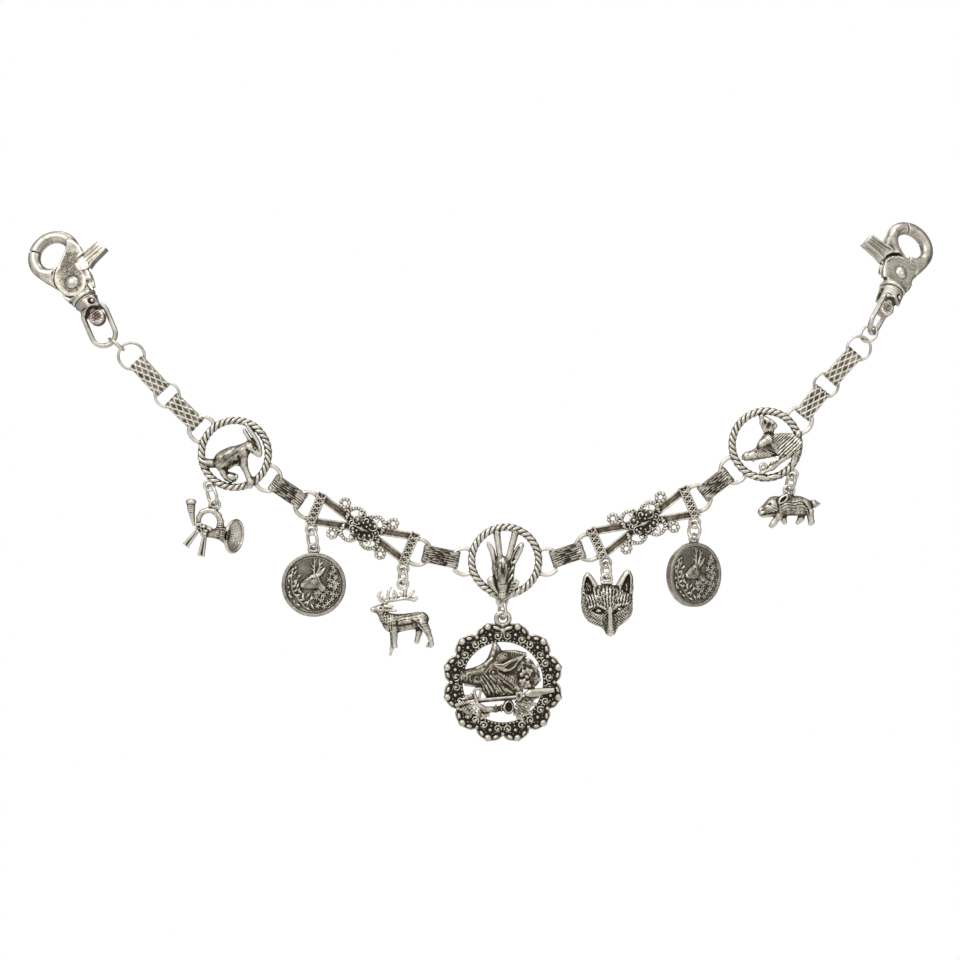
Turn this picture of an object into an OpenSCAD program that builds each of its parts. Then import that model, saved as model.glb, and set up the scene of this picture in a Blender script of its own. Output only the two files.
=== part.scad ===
// Charivari charm chain, hanging from its two hooks.
// X runs along the chain, Z is up and the front faces -Y.
// The origin is the centre of the left hook's eye.

/* [Chain] */
// Wire of the free links and jump rings
link_wire = 0.9; // [0.7:0.05:1]
// Wire of the half loops cast on the roundels and bows
loop_wire = 1.35; // [1.1:0.05:1.45]
// Radius of a half loop, to the middle of its wire
loop_r = 4.35; // [4.2:0.05:4.5]
// Width of a folded strip
strip_w = 5.6; // [5:0.1:5.8]
// Sheet of a folded strip
strip_sheet = 0.4; // [0.3:0.05:0.5]
// Height inside a folded strip
strip_gap = 2.0; // [1.9:0.05:2.2]

/* [Roundels] */
// Radius of the rope ring, to the middle of the rope
rope_ring_r = 11.15; // [10.9:0.05:11.4]
// Thickness of the rope
rope_d = 2.5; // [2.2:0.1:2.7]
// Turns of rope seen round a roundel
rope_turns = 36; // [30:1:40]

/* [Bows] */
// Length of a bow between the middles of its end bars
bow_l = 33.7; // [33:0.1:34.2]
// Length of an end bar
bow_bar_l = 11.4; // [11:0.1:11.6]
// Width of an end bar
bow_bar_w = 3.2; // [2.8:0.1:3.4]
// Width of a crossing bar
bow_cross_w = 2.7; // [2.3:0.1:3]

/* [Charms] */
// Diameter of a coin
coin_d = 21.4; // [20.5:0.1:22]
// Thickness of a coin
coin_t = 2.8; // [2.2:0.1:3]
// Radius of the pendant frame, to the tips of its lobes
frame_r = 20.4; // [20:0.1:20.6]
// Radius of the pendant's opening
frame_hole_r = 13.5; // [13.2:0.1:13.8]
// Lobes round the pendant frame
frame_lobes = 12; // [10:1:14]

/* [Clasps] */
// Wire of the hook
hook_wire = 4.3; // [4:0.1:4.4]
// Radius of the hook ring, to the middle of its wire
hook_r = 6.35; // [6.3:0.05:6.5]
// Gap between the hook's fixed and moving halves
lap_gap = 0.3; // [0.25:0.05:0.35]
// Diameter of the rivet
rivet_d = 2.0; // [1.6:0.1:2.2]
// Wire of the oval swivel ring
swivel_wire = 1.7; // [1.5:0.1:1.75]

/* [Hidden] */

smooth = 48;
silver = [0.74, 0.73, 0.7];
bright_silver = [0.84, 0.83, 0.8];
dark_silver = [0.5, 0.49, 0.46];

// Placing: a flat piece is drawn in its own x and y with z to the viewer, and stood up here
module stood(at, turn = 0, tilt = 0) {
  translate([at[0], chain_y, at[1]]) rotate([90, 0, 0]) rotate([0, 0, turn]) rotate([tilt, 0, 0]) children();
}

function direction(angle) = [cos(angle), sin(angle)];
function heading(a, b) = atan2(b[1] - a[1], b[0] - a[0]);
function unit(v) = v / norm(v);
function across(v, n) = unit(v - n * (v * n));
function turned(p, angle) = [p[0] * cos(angle) - p[1] * sin(angle), p[0] * sin(angle) + p[1] * cos(angle)];

module wire_ring(r, wire, sides = smooth, round_sides = smooth) {
  rotate_extrude($fn = sides) translate([r, 0]) circle(d = wire, $fn = round_sides);
}

module wire_arc(r, wire, from, sweep, sides = smooth, round_sides = smooth) {
  rotate([0, 0, from]) rotate_extrude(angle = sweep, $fn = sides)
    translate([r, 0]) circle(d = wire, $fn = round_sides);
}

// A ring that holds the wires at a and b, which have radii ra and rb
link_play = 0.12;
module holding_ring(a, ra, b, rb, wire, turn) {
  along = heading(a, b);
  length = norm(b - a) + ra + rb + 2 * link_play + wire;
  start = a - direction(along) * (ra + link_play + wire / 2);
  stood(start + direction(along) * length / 2, along) rotate([turn, 0, 0]) wire_ring(length / 2, wire);
}

// A ring whose wire runs through the holes at a and b
module threading_ring(a, b, wire, turn) {
  stood((a + b) / 2, heading(a, b), turn) wire_ring(norm(b - a) / 2, wire);
}

// Cast figures: rows of start x, y, z, radius and end x, y, z, radius
limb_sides = 6;
module limb(row) {
  hull() {
    translate([row[0], row[1], row[2]]) sphere(r = row[3], $fn = limb_sides);
    translate([row[4], row[5], row[6]]) sphere(r = row[7], $fn = limb_sides);
  }
}

module figure(rows) {
  for (row = rows) limb(row);
}

// Stations of the chain
roundel_at = [[60.9, -66.3], [151.0, -101.9], [237.8, -63.2]];
roundel_lug_angle = [230.8, 265.6, -48.3];
roundel_loop_angles = [[143.4, -36.5], [181.3, -1.7], [218.5, 35.8]];
roundel_loop_reach = 13.65;
roundel_lug_reach = 13.5;
bow_at = [[103.5, -91.2], [197.05, -89.3]];
bow_turn = [-23.1, 24.2];
bow_loop_reach = bow_l / 2 + 3;
bow_lug_drop = 7.0;
// Where each charm's lug sits along its end bar's bow: left bow, then right bow
bow_lug_x = [[-bow_l / 2 + 1.2, bow_l / 2 + 0.8], [-bow_l / 2, bow_l / 2 - 1.2]];
left_ring_at = [[26.4, -33.7], [38.3, -46.7]];
right_ring_at = [[258, -43.3], [268.9, -31.1]];
left_ring_r = [4.4, 4.1];
right_ring_r = [4.1, 4.0];
end_ring_tilt = [6, 9];

function roundel_loop(k, side) =
  roundel_at[k] + roundel_loop_reach * direction(roundel_loop_angles[k][side]);
function bow_loop(k, side) =
  bow_at[k] + turned([side == 0 ? -bow_loop_reach : bow_loop_reach, 0], bow_turn[k]);
function roundel_lug(k) = roundel_at[k] + roundel_lug_reach * direction(roundel_lug_angle[k]);
function bow_lug(k, side) = bow_at[k] + turned([bow_lug_x[k][side], -bow_lug_drop], bow_turn[k]);

// Folded strips: each is a flat sheet tube, folded over the wire of the loop at either end
strip_tilt = 4;
strip_play = 0.27;
function strip_reach(r, wire) =
  sqrt(pow(r - wire / 2, 2) - pow(strip_w / 2, 2)) - strip_sheet - strip_play;

module sheet_tube(length, height, width) {
  linear_extrude(width, center = true) {
    square([length - height, height], center = true);
    for (side = [-1, 1]) translate([side * (length - height) / 2, 0]) circle(d = height, $fn = smooth);
  }
}

module strip(a, ra, wire_a, b, rb, wire_b) {
  reach_a = strip_reach(ra, wire_a);
  reach_b = strip_reach(rb, wire_b);
  length = norm(b - a) - reach_a - reach_b;
  height = strip_gap + 2 * strip_sheet;
  middle = a + direction(heading(a, b)) * (reach_a + length / 2);
  color(silver) stood(middle, heading(a, b), strip_tilt) rotate([90, 0, 0]) difference() {
    sheet_tube(length, height, strip_w);
    sheet_tube(length - 2 * strip_sheet, strip_gap, strip_w + 1);
  }
}

module strip_1() {
  strip(left_ring_at[0], left_ring_r[0], link_wire, left_ring_at[1], left_ring_r[1], link_wire);
}
module strip_2() { strip(left_ring_at[1], left_ring_r[1], link_wire, roundel_loop(0, 0), loop_r, loop_wire); }
module strip_3() { strip(roundel_loop(0, 1), loop_r, loop_wire, bow_loop(0, 0), loop_r, loop_wire); }
module strip_4() { strip(bow_loop(0, 1), loop_r, loop_wire, roundel_loop(1, 0), loop_r, loop_wire); }
module strip_5() { strip(roundel_loop(1, 1), loop_r, loop_wire, bow_loop(1, 0), loop_r, loop_wire); }
module strip_6() { strip(bow_loop(1, 1), loop_r, loop_wire, roundel_loop(2, 0), loop_r, loop_wire); }
module strip_7() {
  strip(roundel_loop(2, 1), loop_r, loop_wire, right_ring_at[0], right_ring_r[0], link_wire);
}
module strip_8() {
  strip(right_ring_at[0], right_ring_r[0], link_wire, right_ring_at[1], right_ring_r[1], link_wire);
}

module free_ring(at, r, turn, tilt) {
  color(bright_silver) stood(at, turn, tilt) wire_ring(r, link_wire);
}

left_run = heading(left_ring_at[0], left_ring_at[1]);
right_run = heading(right_ring_at[0], right_ring_at[1]);
module left_strip_ring_a() { free_ring(left_ring_at[0], left_ring_r[0], left_run, end_ring_tilt[0]); }
module left_strip_ring_b() { free_ring(left_ring_at[1], left_ring_r[1], left_run, end_ring_tilt[0]); }
module right_strip_ring_a() { free_ring(right_ring_at[0], right_ring_r[0], right_run, end_ring_tilt[0]); }
module right_strip_ring_b() { free_ring(right_ring_at[1], right_ring_r[1], right_run, end_ring_tilt[1]); }

// Rope ring: slanted sections, wide and narrow in turn, so that each strand stands out
rope_sides = 6;
rope_slant = -5;
rope_groove = 0.8;
module rope_ring() {
  sections = 2 * rope_turns;
  points = [for (s = [0:sections - 1], k = [0:rope_sides - 1])
    let (
      around = 360 * (k + 0.5) / rope_sides,
      r = rope_d / 2 * (s % 2 == 0 ? 1 : rope_groove),
      along = 360 * s / sections + rope_slant * cos(around),
      out = rope_ring_r + r * cos(around)
    ) [out * cos(along), out * sin(along), r * sin(around)]];
  faces = [for (s = [0:sections - 1], k = [0:rope_sides - 1])
    let (next = (s + 1) % sections, up = (k + 1) % rope_sides)
    each [
      [s * rope_sides + k, s * rope_sides + up, next * rope_sides + up],
      [s * rope_sides + k, next * rope_sides + up, next * rope_sides + k]
    ]];
  polyhedron(points, faces);
}

lug_r = 1.65;
lug_wire = 1.0;
cast_sides = 14;
module cast_loop() {
  wire_ring(lug_r, lug_wire, 12, limb_sides);
}

module half_loop(sweep = 262) {
  wire_arc(loop_r, loop_wire, -sweep / 2, sweep, 18, limb_sides);
}

module roundel(k) {
  color(silver) stood(roundel_at[k]) {
    rope_ring();
    for (angle = roundel_loop_angles[k])
      rotate([0, 0, angle]) translate([roundel_loop_reach, 0, 0]) half_loop();
    rotate([0, 0, roundel_lug_angle[k]]) translate([roundel_lug_reach, 0, 0]) cast_loop();
    children();
  }
}

hare_rows = [
  // tail, rump, back, chest, neck
  [-10.6, -2.7, 0, 1.3, -7.0, -2.4, 0, 1.2],
  [-5.0, -2.0, 0, 2.6, -1.4, -0.3, 0, 2.6],
  [-1.4, -0.3, 0, 2.6, 2.4, 0.9, 0, 2.3],
  [2.4, 0.9, 0, 2.3, 5.2, 2.3, 0.2, 1.9],
  // head and muzzle
  [5.2, 2.3, 0.2, 2.0, 8.1, 0.2, 0.2, 1.1],
  // two ears
  [6.6, 3.6, 0.8, 1.2, 4.3, 9.6, 0.2, 0.8],
  [4.6, 4.0, -0.6, 0.9, 3.0, 8.0, -0.4, 0.6],
  // foreleg and paw
  [2.4, -0.6, 0.4, 1.7, 4.2, -6.4, 0.4, 0.9],
  [4.2, -6.4, 0.4, 0.9, 5.2, -9.4, 0.2, 1.3],
  // hind leg and foot
  [-4.6, -3.4, 0.4, 2.2, -2.6, -7.6, 0.4, 1.4],
  [-3.0, -8.2, 0.4, 1.3, 0.6, -8.4, 0.4, 1.1]
];
module hare_roundel() { roundel(0) figure(hare_rows); }

roebuck_rows = [
  // antlers
  [-2.9, 9.6, 0, 0.9, -1.5, 1.0, 0.4, 1.2],
  [3.2, 9.4, 0, 0.9, 1.1, 1.0, 0.4, 1.2],
  // ears
  [-5.3, 5.6, 0, 0.5, -3.2, 0.2, 0.2, 1.2],
  [5.4, 5.0, 0, 0.6, 2.5, 0.0, 0.2, 1.4],
  // forehead, nose and muzzle
  [-0.5, -0.6, 0.3, 2.8, -0.6, -5.2, 0.6, 2.1],
  [-0.6, -5.2, 0.6, 2.1, -0.8, -11.0, 0.8, 1.2],
  // leaf at either side of the muzzle
  [-4.4, -6.4, 0, 1.1, -3.6, -10.0, 0, 1.2],
  [3.4, -6.8, 0, 1.4, 2.0, -10.6, 0, 1.2]
];
module roebuck_roundel() { roundel(1) figure(roebuck_rows); }

grouse_rows = [
  // tail fan
  [-1.2, 9.6, 0, 0.9, 0.8, 4.0, 0, 1.3],
  [2.8, 6.8, 0, 0.9, 0.8, 4.0, 0, 1.3],
  [-1.2, 9.6, 0, 0.9, 2.8, 6.8, 0, 0.9],
  // back, breast, neck, head and beak
  [0.8, 4.0, 0, 1.5, -0.4, -0.6, 0, 2.4],
  [-0.4, -0.6, 0, 2.4, 2.4, -2.4, 0, 1.9],
  [-0.4, -1.2, 0, 2.0, -3.4, -3.0, 0, 1.4],
  [-3.4, -3.0, 0, 1.4, -5.8, -3.6, 0, 1.3],
  [-5.8, -3.6, 0, 1.3, -7.7, -4.9, 0, 0.6],
  // wing
  [0.8, 0.4, 1.0, 1.6, 8.0, 2.0, 0.6, 1.2],
  [2.6, -2.0, 1.0, 1.4, 9.6, 0.0, 0.6, 1.2],
  // branch with a curled end
  [-3.2, -10.4, 0, 0.9, 9.8, -3.2, 0, 1.0],
  [-2.2, -9.4, 0.2, 0.6, -1.4, -7.0, 0.2, 0.6],
  [-1.4, -7.0, 0.2, 0.6, 0.4, -7.6, 0.2, 0.6],
  // leaves below the branch
  [1.6, -9.4, 0, 0.9, 9.4, -5.6, 0, 1.5]
];
module grouse_roundel() { roundel(2) figure(grouse_rows); }

// Bows: two end bars, two crossing bars, a lace plate with a rosette, half loops and charm lugs
bow_t = 1.8;
lace_t = 1.0;
lace_r = 2.9;
lace_wire = 1.2;
lace_x = 3.4;
lace_y = 2.7;
corner_ring_x = 8.7;
corner_ring_y = 5.6;
rosette_r = 5.2;

module bar(a, b, w, t) {
  translate([a[0], a[1], 0]) rotate([0, 0, heading(a, b)])
    translate([0, -w / 2, -t / 2]) cube([norm(b - a), w, t]);
}

module bow_half_lace() {
  for (side = [-1, 1]) {
    translate([side * lace_x, lace_y, 0]) wire_arc(lace_r, lace_wire, -20, 220, 14, limb_sides);
    translate([side * corner_ring_x, corner_ring_y, 0]) wire_ring(1.3, 1.0, 10, limb_sides);
    limb([side * 6.6, 3.0, 0, 0.7, side * 7.9, 4.8, 0, 0.7]);
  }
}

module rosette() {
  translate([0, 0, -lace_t / 2]) cylinder(r = rosette_r, h = 1.6, $fn = 16);
  for (angle = [45:90:315]) rotate([0, 0, angle]) translate([rosette_r - 1.6, 0, 1.2])
    scale([1, 1, 0.8]) sphere(r = 1.6, $fn = 8);
  hull() {
    translate([0, 0, 1]) linear_extrude(1.2) polygon([[-3.2, 0], [0, -2], [3.2, 0], [0, 2]]);
    translate([0, 0, 2.4]) cube([2, 0.2, 0.2], center = true);
  }
}

module bow(k) {
  half = bow_l / 2;
  color(dark_silver) stood(bow_at[k], bow_turn[k]) {
    for (side = [-1, 1]) {
      bar([side * half, -bow_bar_l / 2], [side * half, bow_bar_l / 2], bow_bar_w, bow_t);
      bar([-half + 0.6, side * (bow_bar_l / 2 - 1.5)], [half - 0.6, -side * (bow_bar_l / 2 - 1.5)],
        bow_cross_w, bow_t * 0.8);
      translate([side * bow_loop_reach, 0, 0]) rotate([0, 0, side > 0 ? 0 : 180]) half_loop(240);
    }
    for (x = bow_lug_x[k]) translate([x, -bow_lug_drop, 0]) cast_loop();
    translate([0, 0, 0.4]) {
      bow_half_lace();
      rotate([0, 0, 180]) bow_half_lace();
    }
    translate([0, 0, 0.4]) rosette();
  }
}
module left_bow() { bow(0); }
module right_bow() { bow(1); }

// Charms: each is drawn about the middle of its own loop
charm_at = [
  // x, z of the loop: horn, left coin, stag, pendant, fox, right coin, boar
  [54.2, -83.3], [87.2, -98.0], [116.9, -109.7], [150.2, -121.3],
  [184.8, -107.9], [213.9, -94.7], [245.6, -78.4]
];
horn = 0;
coin_one = 1;
stag = 2;
pendant = 3;
fox = 4;
coin_two = 5;
boar = 6;
charm_ring_wire = 1.1;

module charm_ring(lug, at, turn) {
  color(bright_silver) threading_ring(lug, at, charm_ring_wire, turn);
}
module horn_ring() { charm_ring(roundel_lug(0), charm_at[horn], 62); }
module left_coin_ring() { charm_ring(bow_lug(0, 0), charm_at[coin_one], 60); }
module stag_ring() { charm_ring(bow_lug(0, 1), charm_at[stag], 60); }
module pendant_ring() { charm_ring(roundel_lug(1), charm_at[pendant], 70); }
module fox_ring() { charm_ring(bow_lug(1, 0), charm_at[fox], 60); }
module right_coin_ring() { charm_ring(bow_lug(1, 1), charm_at[coin_two], 52); }
module boar_ring() { charm_ring(roundel_lug(2), charm_at[boar], 65); }

module charm(k, turn = 0) {
  translate([charm_at[k][0], chain_y, charm_at[k][1]]) rotate([0, 0, turn]) rotate([90, 0, 0]) children();
}

// Coins: a dished disc with a raised rim, a roebuck's head and two leaf sprays
coin_rim = 1.1;
coin_drop = 11.9;
coin_relief = 0.5;
coin_floor = 0.6;
coin_head = [
  [-4.6, -1.6], [-4.2, -2.6], [-1.6, -1.9], [0.4, -3.6], [1.0, -5.6], [4.4, -5.0], [3.4, -1.2], [2.4, 1.2],
  [4.6, 3.0], [1.2, 2.6], [-0.6, 1.6]
];
coin_antlers = [
  [0.8, 2.0], [0.2, 5.0], [-1.2, 7.2], [0.9, 5.9], [0.9, 8.0], [1.7, 5.4], [3.4, 6.6], [2.2, 4.2], [1.7, 2.0]
];
leaf_rows = [
  // angle round the coin, distance from its middle, turn of the leaf
  [150, 7.6, 60], [172, 7.4, 100], [195, 7.6, 75], [216, 7.6, 130], [236, 7.4, 150],
  [35, 7.6, 120], [12, 7.4, 80], [-10, 7.6, 105], [-32, 7.6, 60], [-54, 7.4, 30]
];

module leaf(length, width) {
  scale([length / width, 1, 1]) circle(d = width, $fn = smooth);
}

module coin_face() {
  linear_extrude(coin_relief + 0.01) {
    polygon(coin_head);
    polygon(coin_antlers);
  }
  linear_extrude(coin_relief * 0.8) for (row = leaf_rows) rotate([0, 0, row[0]]) translate([row[1], 0])
    rotate([0, 0, row[2] - row[0]]) leaf(3.2, 1.2);
}

module coin() {
  color(dark_silver) {
    difference() {
      union() {
        translate([0, -coin_drop, -coin_t / 2]) cylinder(d = coin_d, h = coin_t, $fn = smooth);
        wire_ring(lug_r, lug_wire);
      }
      translate([0, -coin_drop, coin_t / 2 - coin_floor])
        cylinder(d = coin_d - 2 * coin_rim, h = coin_t, $fn = smooth);
      translate([0, -coin_drop, -coin_t * 1.5 + coin_floor])
        cylinder(d = coin_d - 2 * coin_rim, h = coin_t, $fn = smooth);
    }
    translate([0, -coin_drop, coin_t / 2 - coin_floor - 0.01]) coin_face();
  }
}
module left_coin() { charm(coin_one) coin(); }
module right_coin() { charm(coin_two, 34) coin(); }

// Hunting horn: a coiled tube, a mouthpiece, a flared bell, a knot and two tassels
module horn_charm() {
  color(silver) charm(horn) {
    cast_loop();
    translate([-1.6, -5.3, 0]) wire_ring(3.6, 1.9, cast_sides, 8);
    figure([
      [-6.4, -6.6, 0.4, 0.8, -7.3, -1.6, 0.4, 1.0],
      [-7.3, -1.6, 0.4, 1.0, -7.8, 0.6, 0.4, 1.7],
      [-6.4, -6.6, 0.4, 0.8, -2.6, -8.4, 0.6, 1.1],
      [-2.6, -8.6, 0.4, 1.1, 1.6, -8.8, 0.4, 1.6],
      [-4.8, -8.6, 0.9, 0.9, -9.4, -13.4, 0.6, 1.2],
      [-4.0, -9.4, 0.9, 0.9, -4.3, -16.4, 0.6, 1.3],
      [-5.4, -7.4, 1.0, 0.9, -3.2, -9.6, 1.0, 0.9]
    ]);
    difference() {
      hull() {
        translate([1.6, -8.8, 0.4]) sphere(r = 1.8, $fn = 8);
        translate([6.4, -10.4, 0.6]) rotate([0, 72, 0]) cylinder(r = 5.8, h = 1.0, center = true, $fn = 14);
      }
      hull() {
        translate([3.4, -9.4, 1.0]) sphere(r = 0.8, $fn = 8);
        translate([7.0, -10.4, 0.8]) rotate([0, 72, 0]) cylinder(r = 4.9, h = 1.0, center = true, $fn = 14);
      }
    }
  }
}

stag_rows = [
  // muzzle, head, neck
  [-10.2, -8.8, 0, 0.8, -7.0, -8.0, 0, 1.4],
  [-7.0, -8.2, 0, 1.4, -5.2, -12.6, 0, 2.0],
  // ear
  [-6.2, -7.4, 0.6, 0.6, -4.2, -7.6, 1.0, 0.4],
  // body and rump
  [-4.2, -13.4, 0, 2.5, 1.6, -12.4, 0, 2.2],
  [1.6, -12.4, 0, 2.2, 6.6, -12.4, 0, 2.3],
  [7.6, -11.8, 0, 0.8, 9.2, -13.2, 0, 0.6],
  // forelegs
  [-4.2, -15.0, 0.7, 1.2, -3.4, -20.0, 0.7, 0.8],
  [-3.4, -20.0, 0.7, 0.8, -4.4, -24.0, 0.7, 0.7],
  [-2.6, -15.0, -0.7, 1.1, -1.2, -18.6, -0.7, 0.7],
  [-1.2, -18.6, -0.7, 0.7, -2.2, -21.0, -0.7, 0.7],
  // hind legs
  [6.0, -13.6, 0.8, 1.7, 5.2, -17.2, 0.8, 0.9],
  [5.2, -17.2, 0.8, 0.9, 4.6, -20.8, 0.8, 0.7],
  [7.4, -13.6, -0.8, 1.5, 8.8, -17.0, -0.8, 0.8],
  [8.8, -17.0, -0.8, 0.8, 9.0, -20.8, -0.8, 0.7],
  // beams and tines
  [-6.0, -7.4, 0, 0.8, -1.6, -4.8, 0, 0.7],
  [-1.6, -4.8, 0, 0.7, 4.8, -5.2, 0, 0.6],
  [-6.2, -7.0, 0, 0.6, -7.9, -3.4, 0, 0.5],
  [-4.2, -6.2, 0, 0.6, -3.2, -1.8, 0, 0.5],
  [1.0, -4.8, 0, 0.6, 3.4, -2.4, 0, 0.5],
  [0, -1.8, 0, 0.8, -0.4, -4.8, 0, 0.7]
];
module stag_charm() {
  color(silver) charm(stag) {
    cast_loop();
    figure(stag_rows);
  }
}

boar_rows = [
  // snout, head, shoulders, back, tail
  [-9.2, -7.7, 0, 1.1, -5.4, -6.4, 0, 2.3],
  [-5.4, -6.4, 0, 2.3, -1.8, -6.0, 0, 3.1],
  [-1.8, -6.0, 0, 3.1, 4.6, -5.8, 0, 2.9],
  [6.0, -4.6, 0, 1.6, 9.9, -4.8, 0, 0.6],
  // ears and mane
  [-6.4, -4.4, 0.4, 1.1, -3.2, -2.8, 0.4, 1.1],
  [-2.4, -3.5, 0, 1.3, 4.4, -3.5, 0, 1.5],
  // legs
  [-2.8, -8.0, 0.8, 1.3, -5.2, -11.9, 0.8, 0.8],
  [-0.8, -8.0, -0.8, 1.2, -0.6, -11.5, -0.8, 0.7],
  [3.8, -8.0, 0.8, 1.3, 3.2, -11.5, 0.8, 0.7],
  [5.8, -7.4, -0.8, 1.4, 8.0, -11.0, -0.8, 0.7],
  // stem up to the loop
  [0, -1.8, 0, 0.7, 0.2, -4.0, 0, 0.7]
];
module boar_charm() {
  color(silver) charm(boar) {
    cast_loop();
    figure(boar_rows);
  }
}

fox_rows = [
  // ears, outer and inner edges
  [-6.7, 1.4, 0, 0.5, -6.9, -5.4, 0, 1.3],
  [-6.7, 1.4, 0, 0.5, -3.8, -3.6, 0, 2.0],
  [7.0, 1.8, 0, 0.5, 7.4, -5.2, 0, 1.2],
  [7.0, 1.8, 0, 0.5, 4.2, -3.6, 0, 2.0],
  // brow and eyes
  [-4.6, -3.8, 0, 2.4, 4.8, -3.8, 0, 2.4],
  [-5.4, -8.6, 0.2, 2.6, 5.9, -8.6, 0.2, 2.6],
  // cheeks
  [-5.6, -10.4, 0, 2.4, 0.2, -16.2, 0.4, 2.0],
  [6.1, -10.4, 0, 2.4, 2.0, -16.2, 0.4, 2.0],
  // nose bridge and chin
  [0.6, -8.0, 2.0, 1.2, 1.2, -17.0, 1.8, 1.2],
  [0.4, -7.0, 0.6, 3.2, 1.2, -17.2, 0.6, 1.9],
  // stem up to the loop
  [0, -1.6, -0.4, 0.8, 0, -4.4, -0.4, 1.0]
];
module fox_charm() {
  color(silver) charm(fox) {
    cast_loop();
    figure(fox_rows);
  }
}

// Pendant: a lobed and beaded frame round an opening, with a boar's head, oak leaves, a knife and a horn
pendant_loop_r = 2.15;
pendant_drop = 21.1;
frame_t = 2.2;
lobe_depth = 2.2;
tip_bead_r = 1.35;
frame_steps = 6;

function lobe_r(angle) = frame_r - 0.4 - lobe_depth * (1 - sqrt(abs(sin(frame_lobes * angle / 2))));
function frame_outline() =
  [for (s = [0:frame_lobes * frame_steps - 1])
    let (angle = 360 * s / (frame_lobes * frame_steps)) lobe_r(angle) * direction(angle)];

module pendant_frame() {
  translate([0, 0, -frame_t / 2]) difference() {
    linear_extrude(frame_t) polygon(frame_outline());
    translate([0, 0, -1]) cylinder(r = frame_hole_r, h = frame_t + 2, $fn = 40);
  }
  for (n = [0:frame_lobes - 1]) rotate([0, 0, 360 * (n + 0.5) / frame_lobes]) {
    translate([frame_r - tip_bead_r, 0, frame_t / 2]) sphere(r = tip_bead_r, $fn = limb_sides);
  }
}

pendant_rows = [
  // raised ear, skull, ear laid back
  [-2.2, 12.9, 0, 0.8, -3.2, 7.6, 0.2, 1.7],
  [-3.0, 6.8, 0.4, 2.4, 1.2, 7.4, 0.4, 2.3],
  [-2.0, 5.2, 1.6, 1.0, 5.2, 7.8, 1.2, 0.8],
  // snout, cheek, jaw and throat
  [-3.6, 5.4, 0.6, 2.6, -11.6, 2.6, 0.4, 1.7],
  [-11.6, 2.6, 0.4, 1.7, -13.8, 2.2, 0, 1.3],
  [-3.4, 1.6, 0.6, 3.4, 2.8, 0.4, 0.4, 3.2],
  [-8.4, -0.2, 0.2, 1.3, -3.4, 0.6, 0.4, 2.2],
  // oak bunch
  [3.6, 5.6, 0, 2.8, 8.2, 5.6, 0, 2.6],
  [8.2, 5.6, 0, 2.4, 10.4, 1.6, 0, 2.2],
  [4.0, 1.6, 0, 2.6, 8.8, 1.6, 0, 2.6],
  // hunting knife: handle, guard and blade
  [-15.0, -6.6, 0.8, 0.6, 4.6, -3.8, 1.0, 0.7],
  [4.6, -2.6, 1.0, 0.6, 4.8, -5.2, 1.0, 0.6],
  [5.0, -3.9, 1.0, 0.9, 10.6, -3.2, 0.8, 1.5],
  [10.6, -3.2, 0.8, 1.5, 16.6, -2.5, 0.6, 0.6],
  // small horn
  [-8.6, -3.6, 0.6, 0.8, -7.0, -7.2, 0.6, 0.9],
  [-7.0, -7.2, 0.6, 0.9, -1.6, -8.6, 0.6, 1.1],
  [-1.6, -8.6, 0.6, 1.1, 2.2, -7.6, 0.8, 2.0],
  // oak leaves below
  [5.4, -6.2, 0, 1.2, 10.8, -8.2, 0, 1.4],
  [3.8, -7.4, 0, 1.0, 6.6, -11.6, 0, 1.4],
  [-8.6, -6.8, 0, 1.2, -11.4, -8.2, 0, 1.4],
  [-7.6, -8.0, 0, 1.2, -6.4, -11.6, 0, 1.4]
];
module boar_head_pendant() {
  color(dark_silver) charm(pendant) {
    wire_ring(pendant_loop_r, 1.6, cast_sides, limb_sides);
    translate([0, -pendant_drop, 0]) {
      pendant_frame();
      limb([0, pendant_drop - 2.2, 0, 0.9, 0, pendant_drop - 4.4, 0, 1.2]);
      translate([0.6, -0.8, 0]) figure(pendant_rows);
    }
  }
}

// Clasps: drawn about the rivet, with the lever at -x, the hook's tip at +y and the front at +z
eye_y = 12;
body_t = 4.4;
plate_r = 4.9;
swing_r = 5.2;
bulge_r = 6.9;
lap_from = 44;
lap_to = 123;
hook_foot = -72;
lever_foot = 232;
collar_d = 9.0;
collar_top = -5.3;
collar_bottom = -7.6;
pin_shelf = 0.7;
pin_bore_d = 3.7;
pin_head_d = 4.7;
pin_head_h = 0.8;
pin_play = 0.15;
bore_play = 0.1;
swivel_hole_y = -9.3;
swivel_bow_r = 4.05;
swivel_straight = 6.6;

module hook_arc(from, to) {
  translate([0, eye_y, 0]) wire_arc(hook_r, hook_wire, from, to - from);
}

// Cuts the lap of the two halves: a slab of the ring, from the middle gap to one face
module lap_cut(from, to, face) {
  translate([0, eye_y, 0]) rotate([0, 0, from]) rotate_extrude(angle = to - from, $fn = smooth)
    translate([hook_r - hook_wire, face > 0 ? -lap_gap / 2 : lap_gap / 2 - hook_wire])
      square([2 * hook_wire, hook_wire]);
}

// Layers of the body: front above the middle gap, back below it, or the whole thickness
module front_layer() {
  translate([0, 0, lap_gap / 2]) linear_extrude(body_t / 2 - lap_gap / 2) children();
}
module back_layer() {
  translate([0, 0, -body_t / 2]) linear_extrude(body_t / 2 - lap_gap / 2) children();
}
module whole_layer() {
  translate([0, 0, -body_t / 2]) linear_extrude(body_t) children();
}

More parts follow.
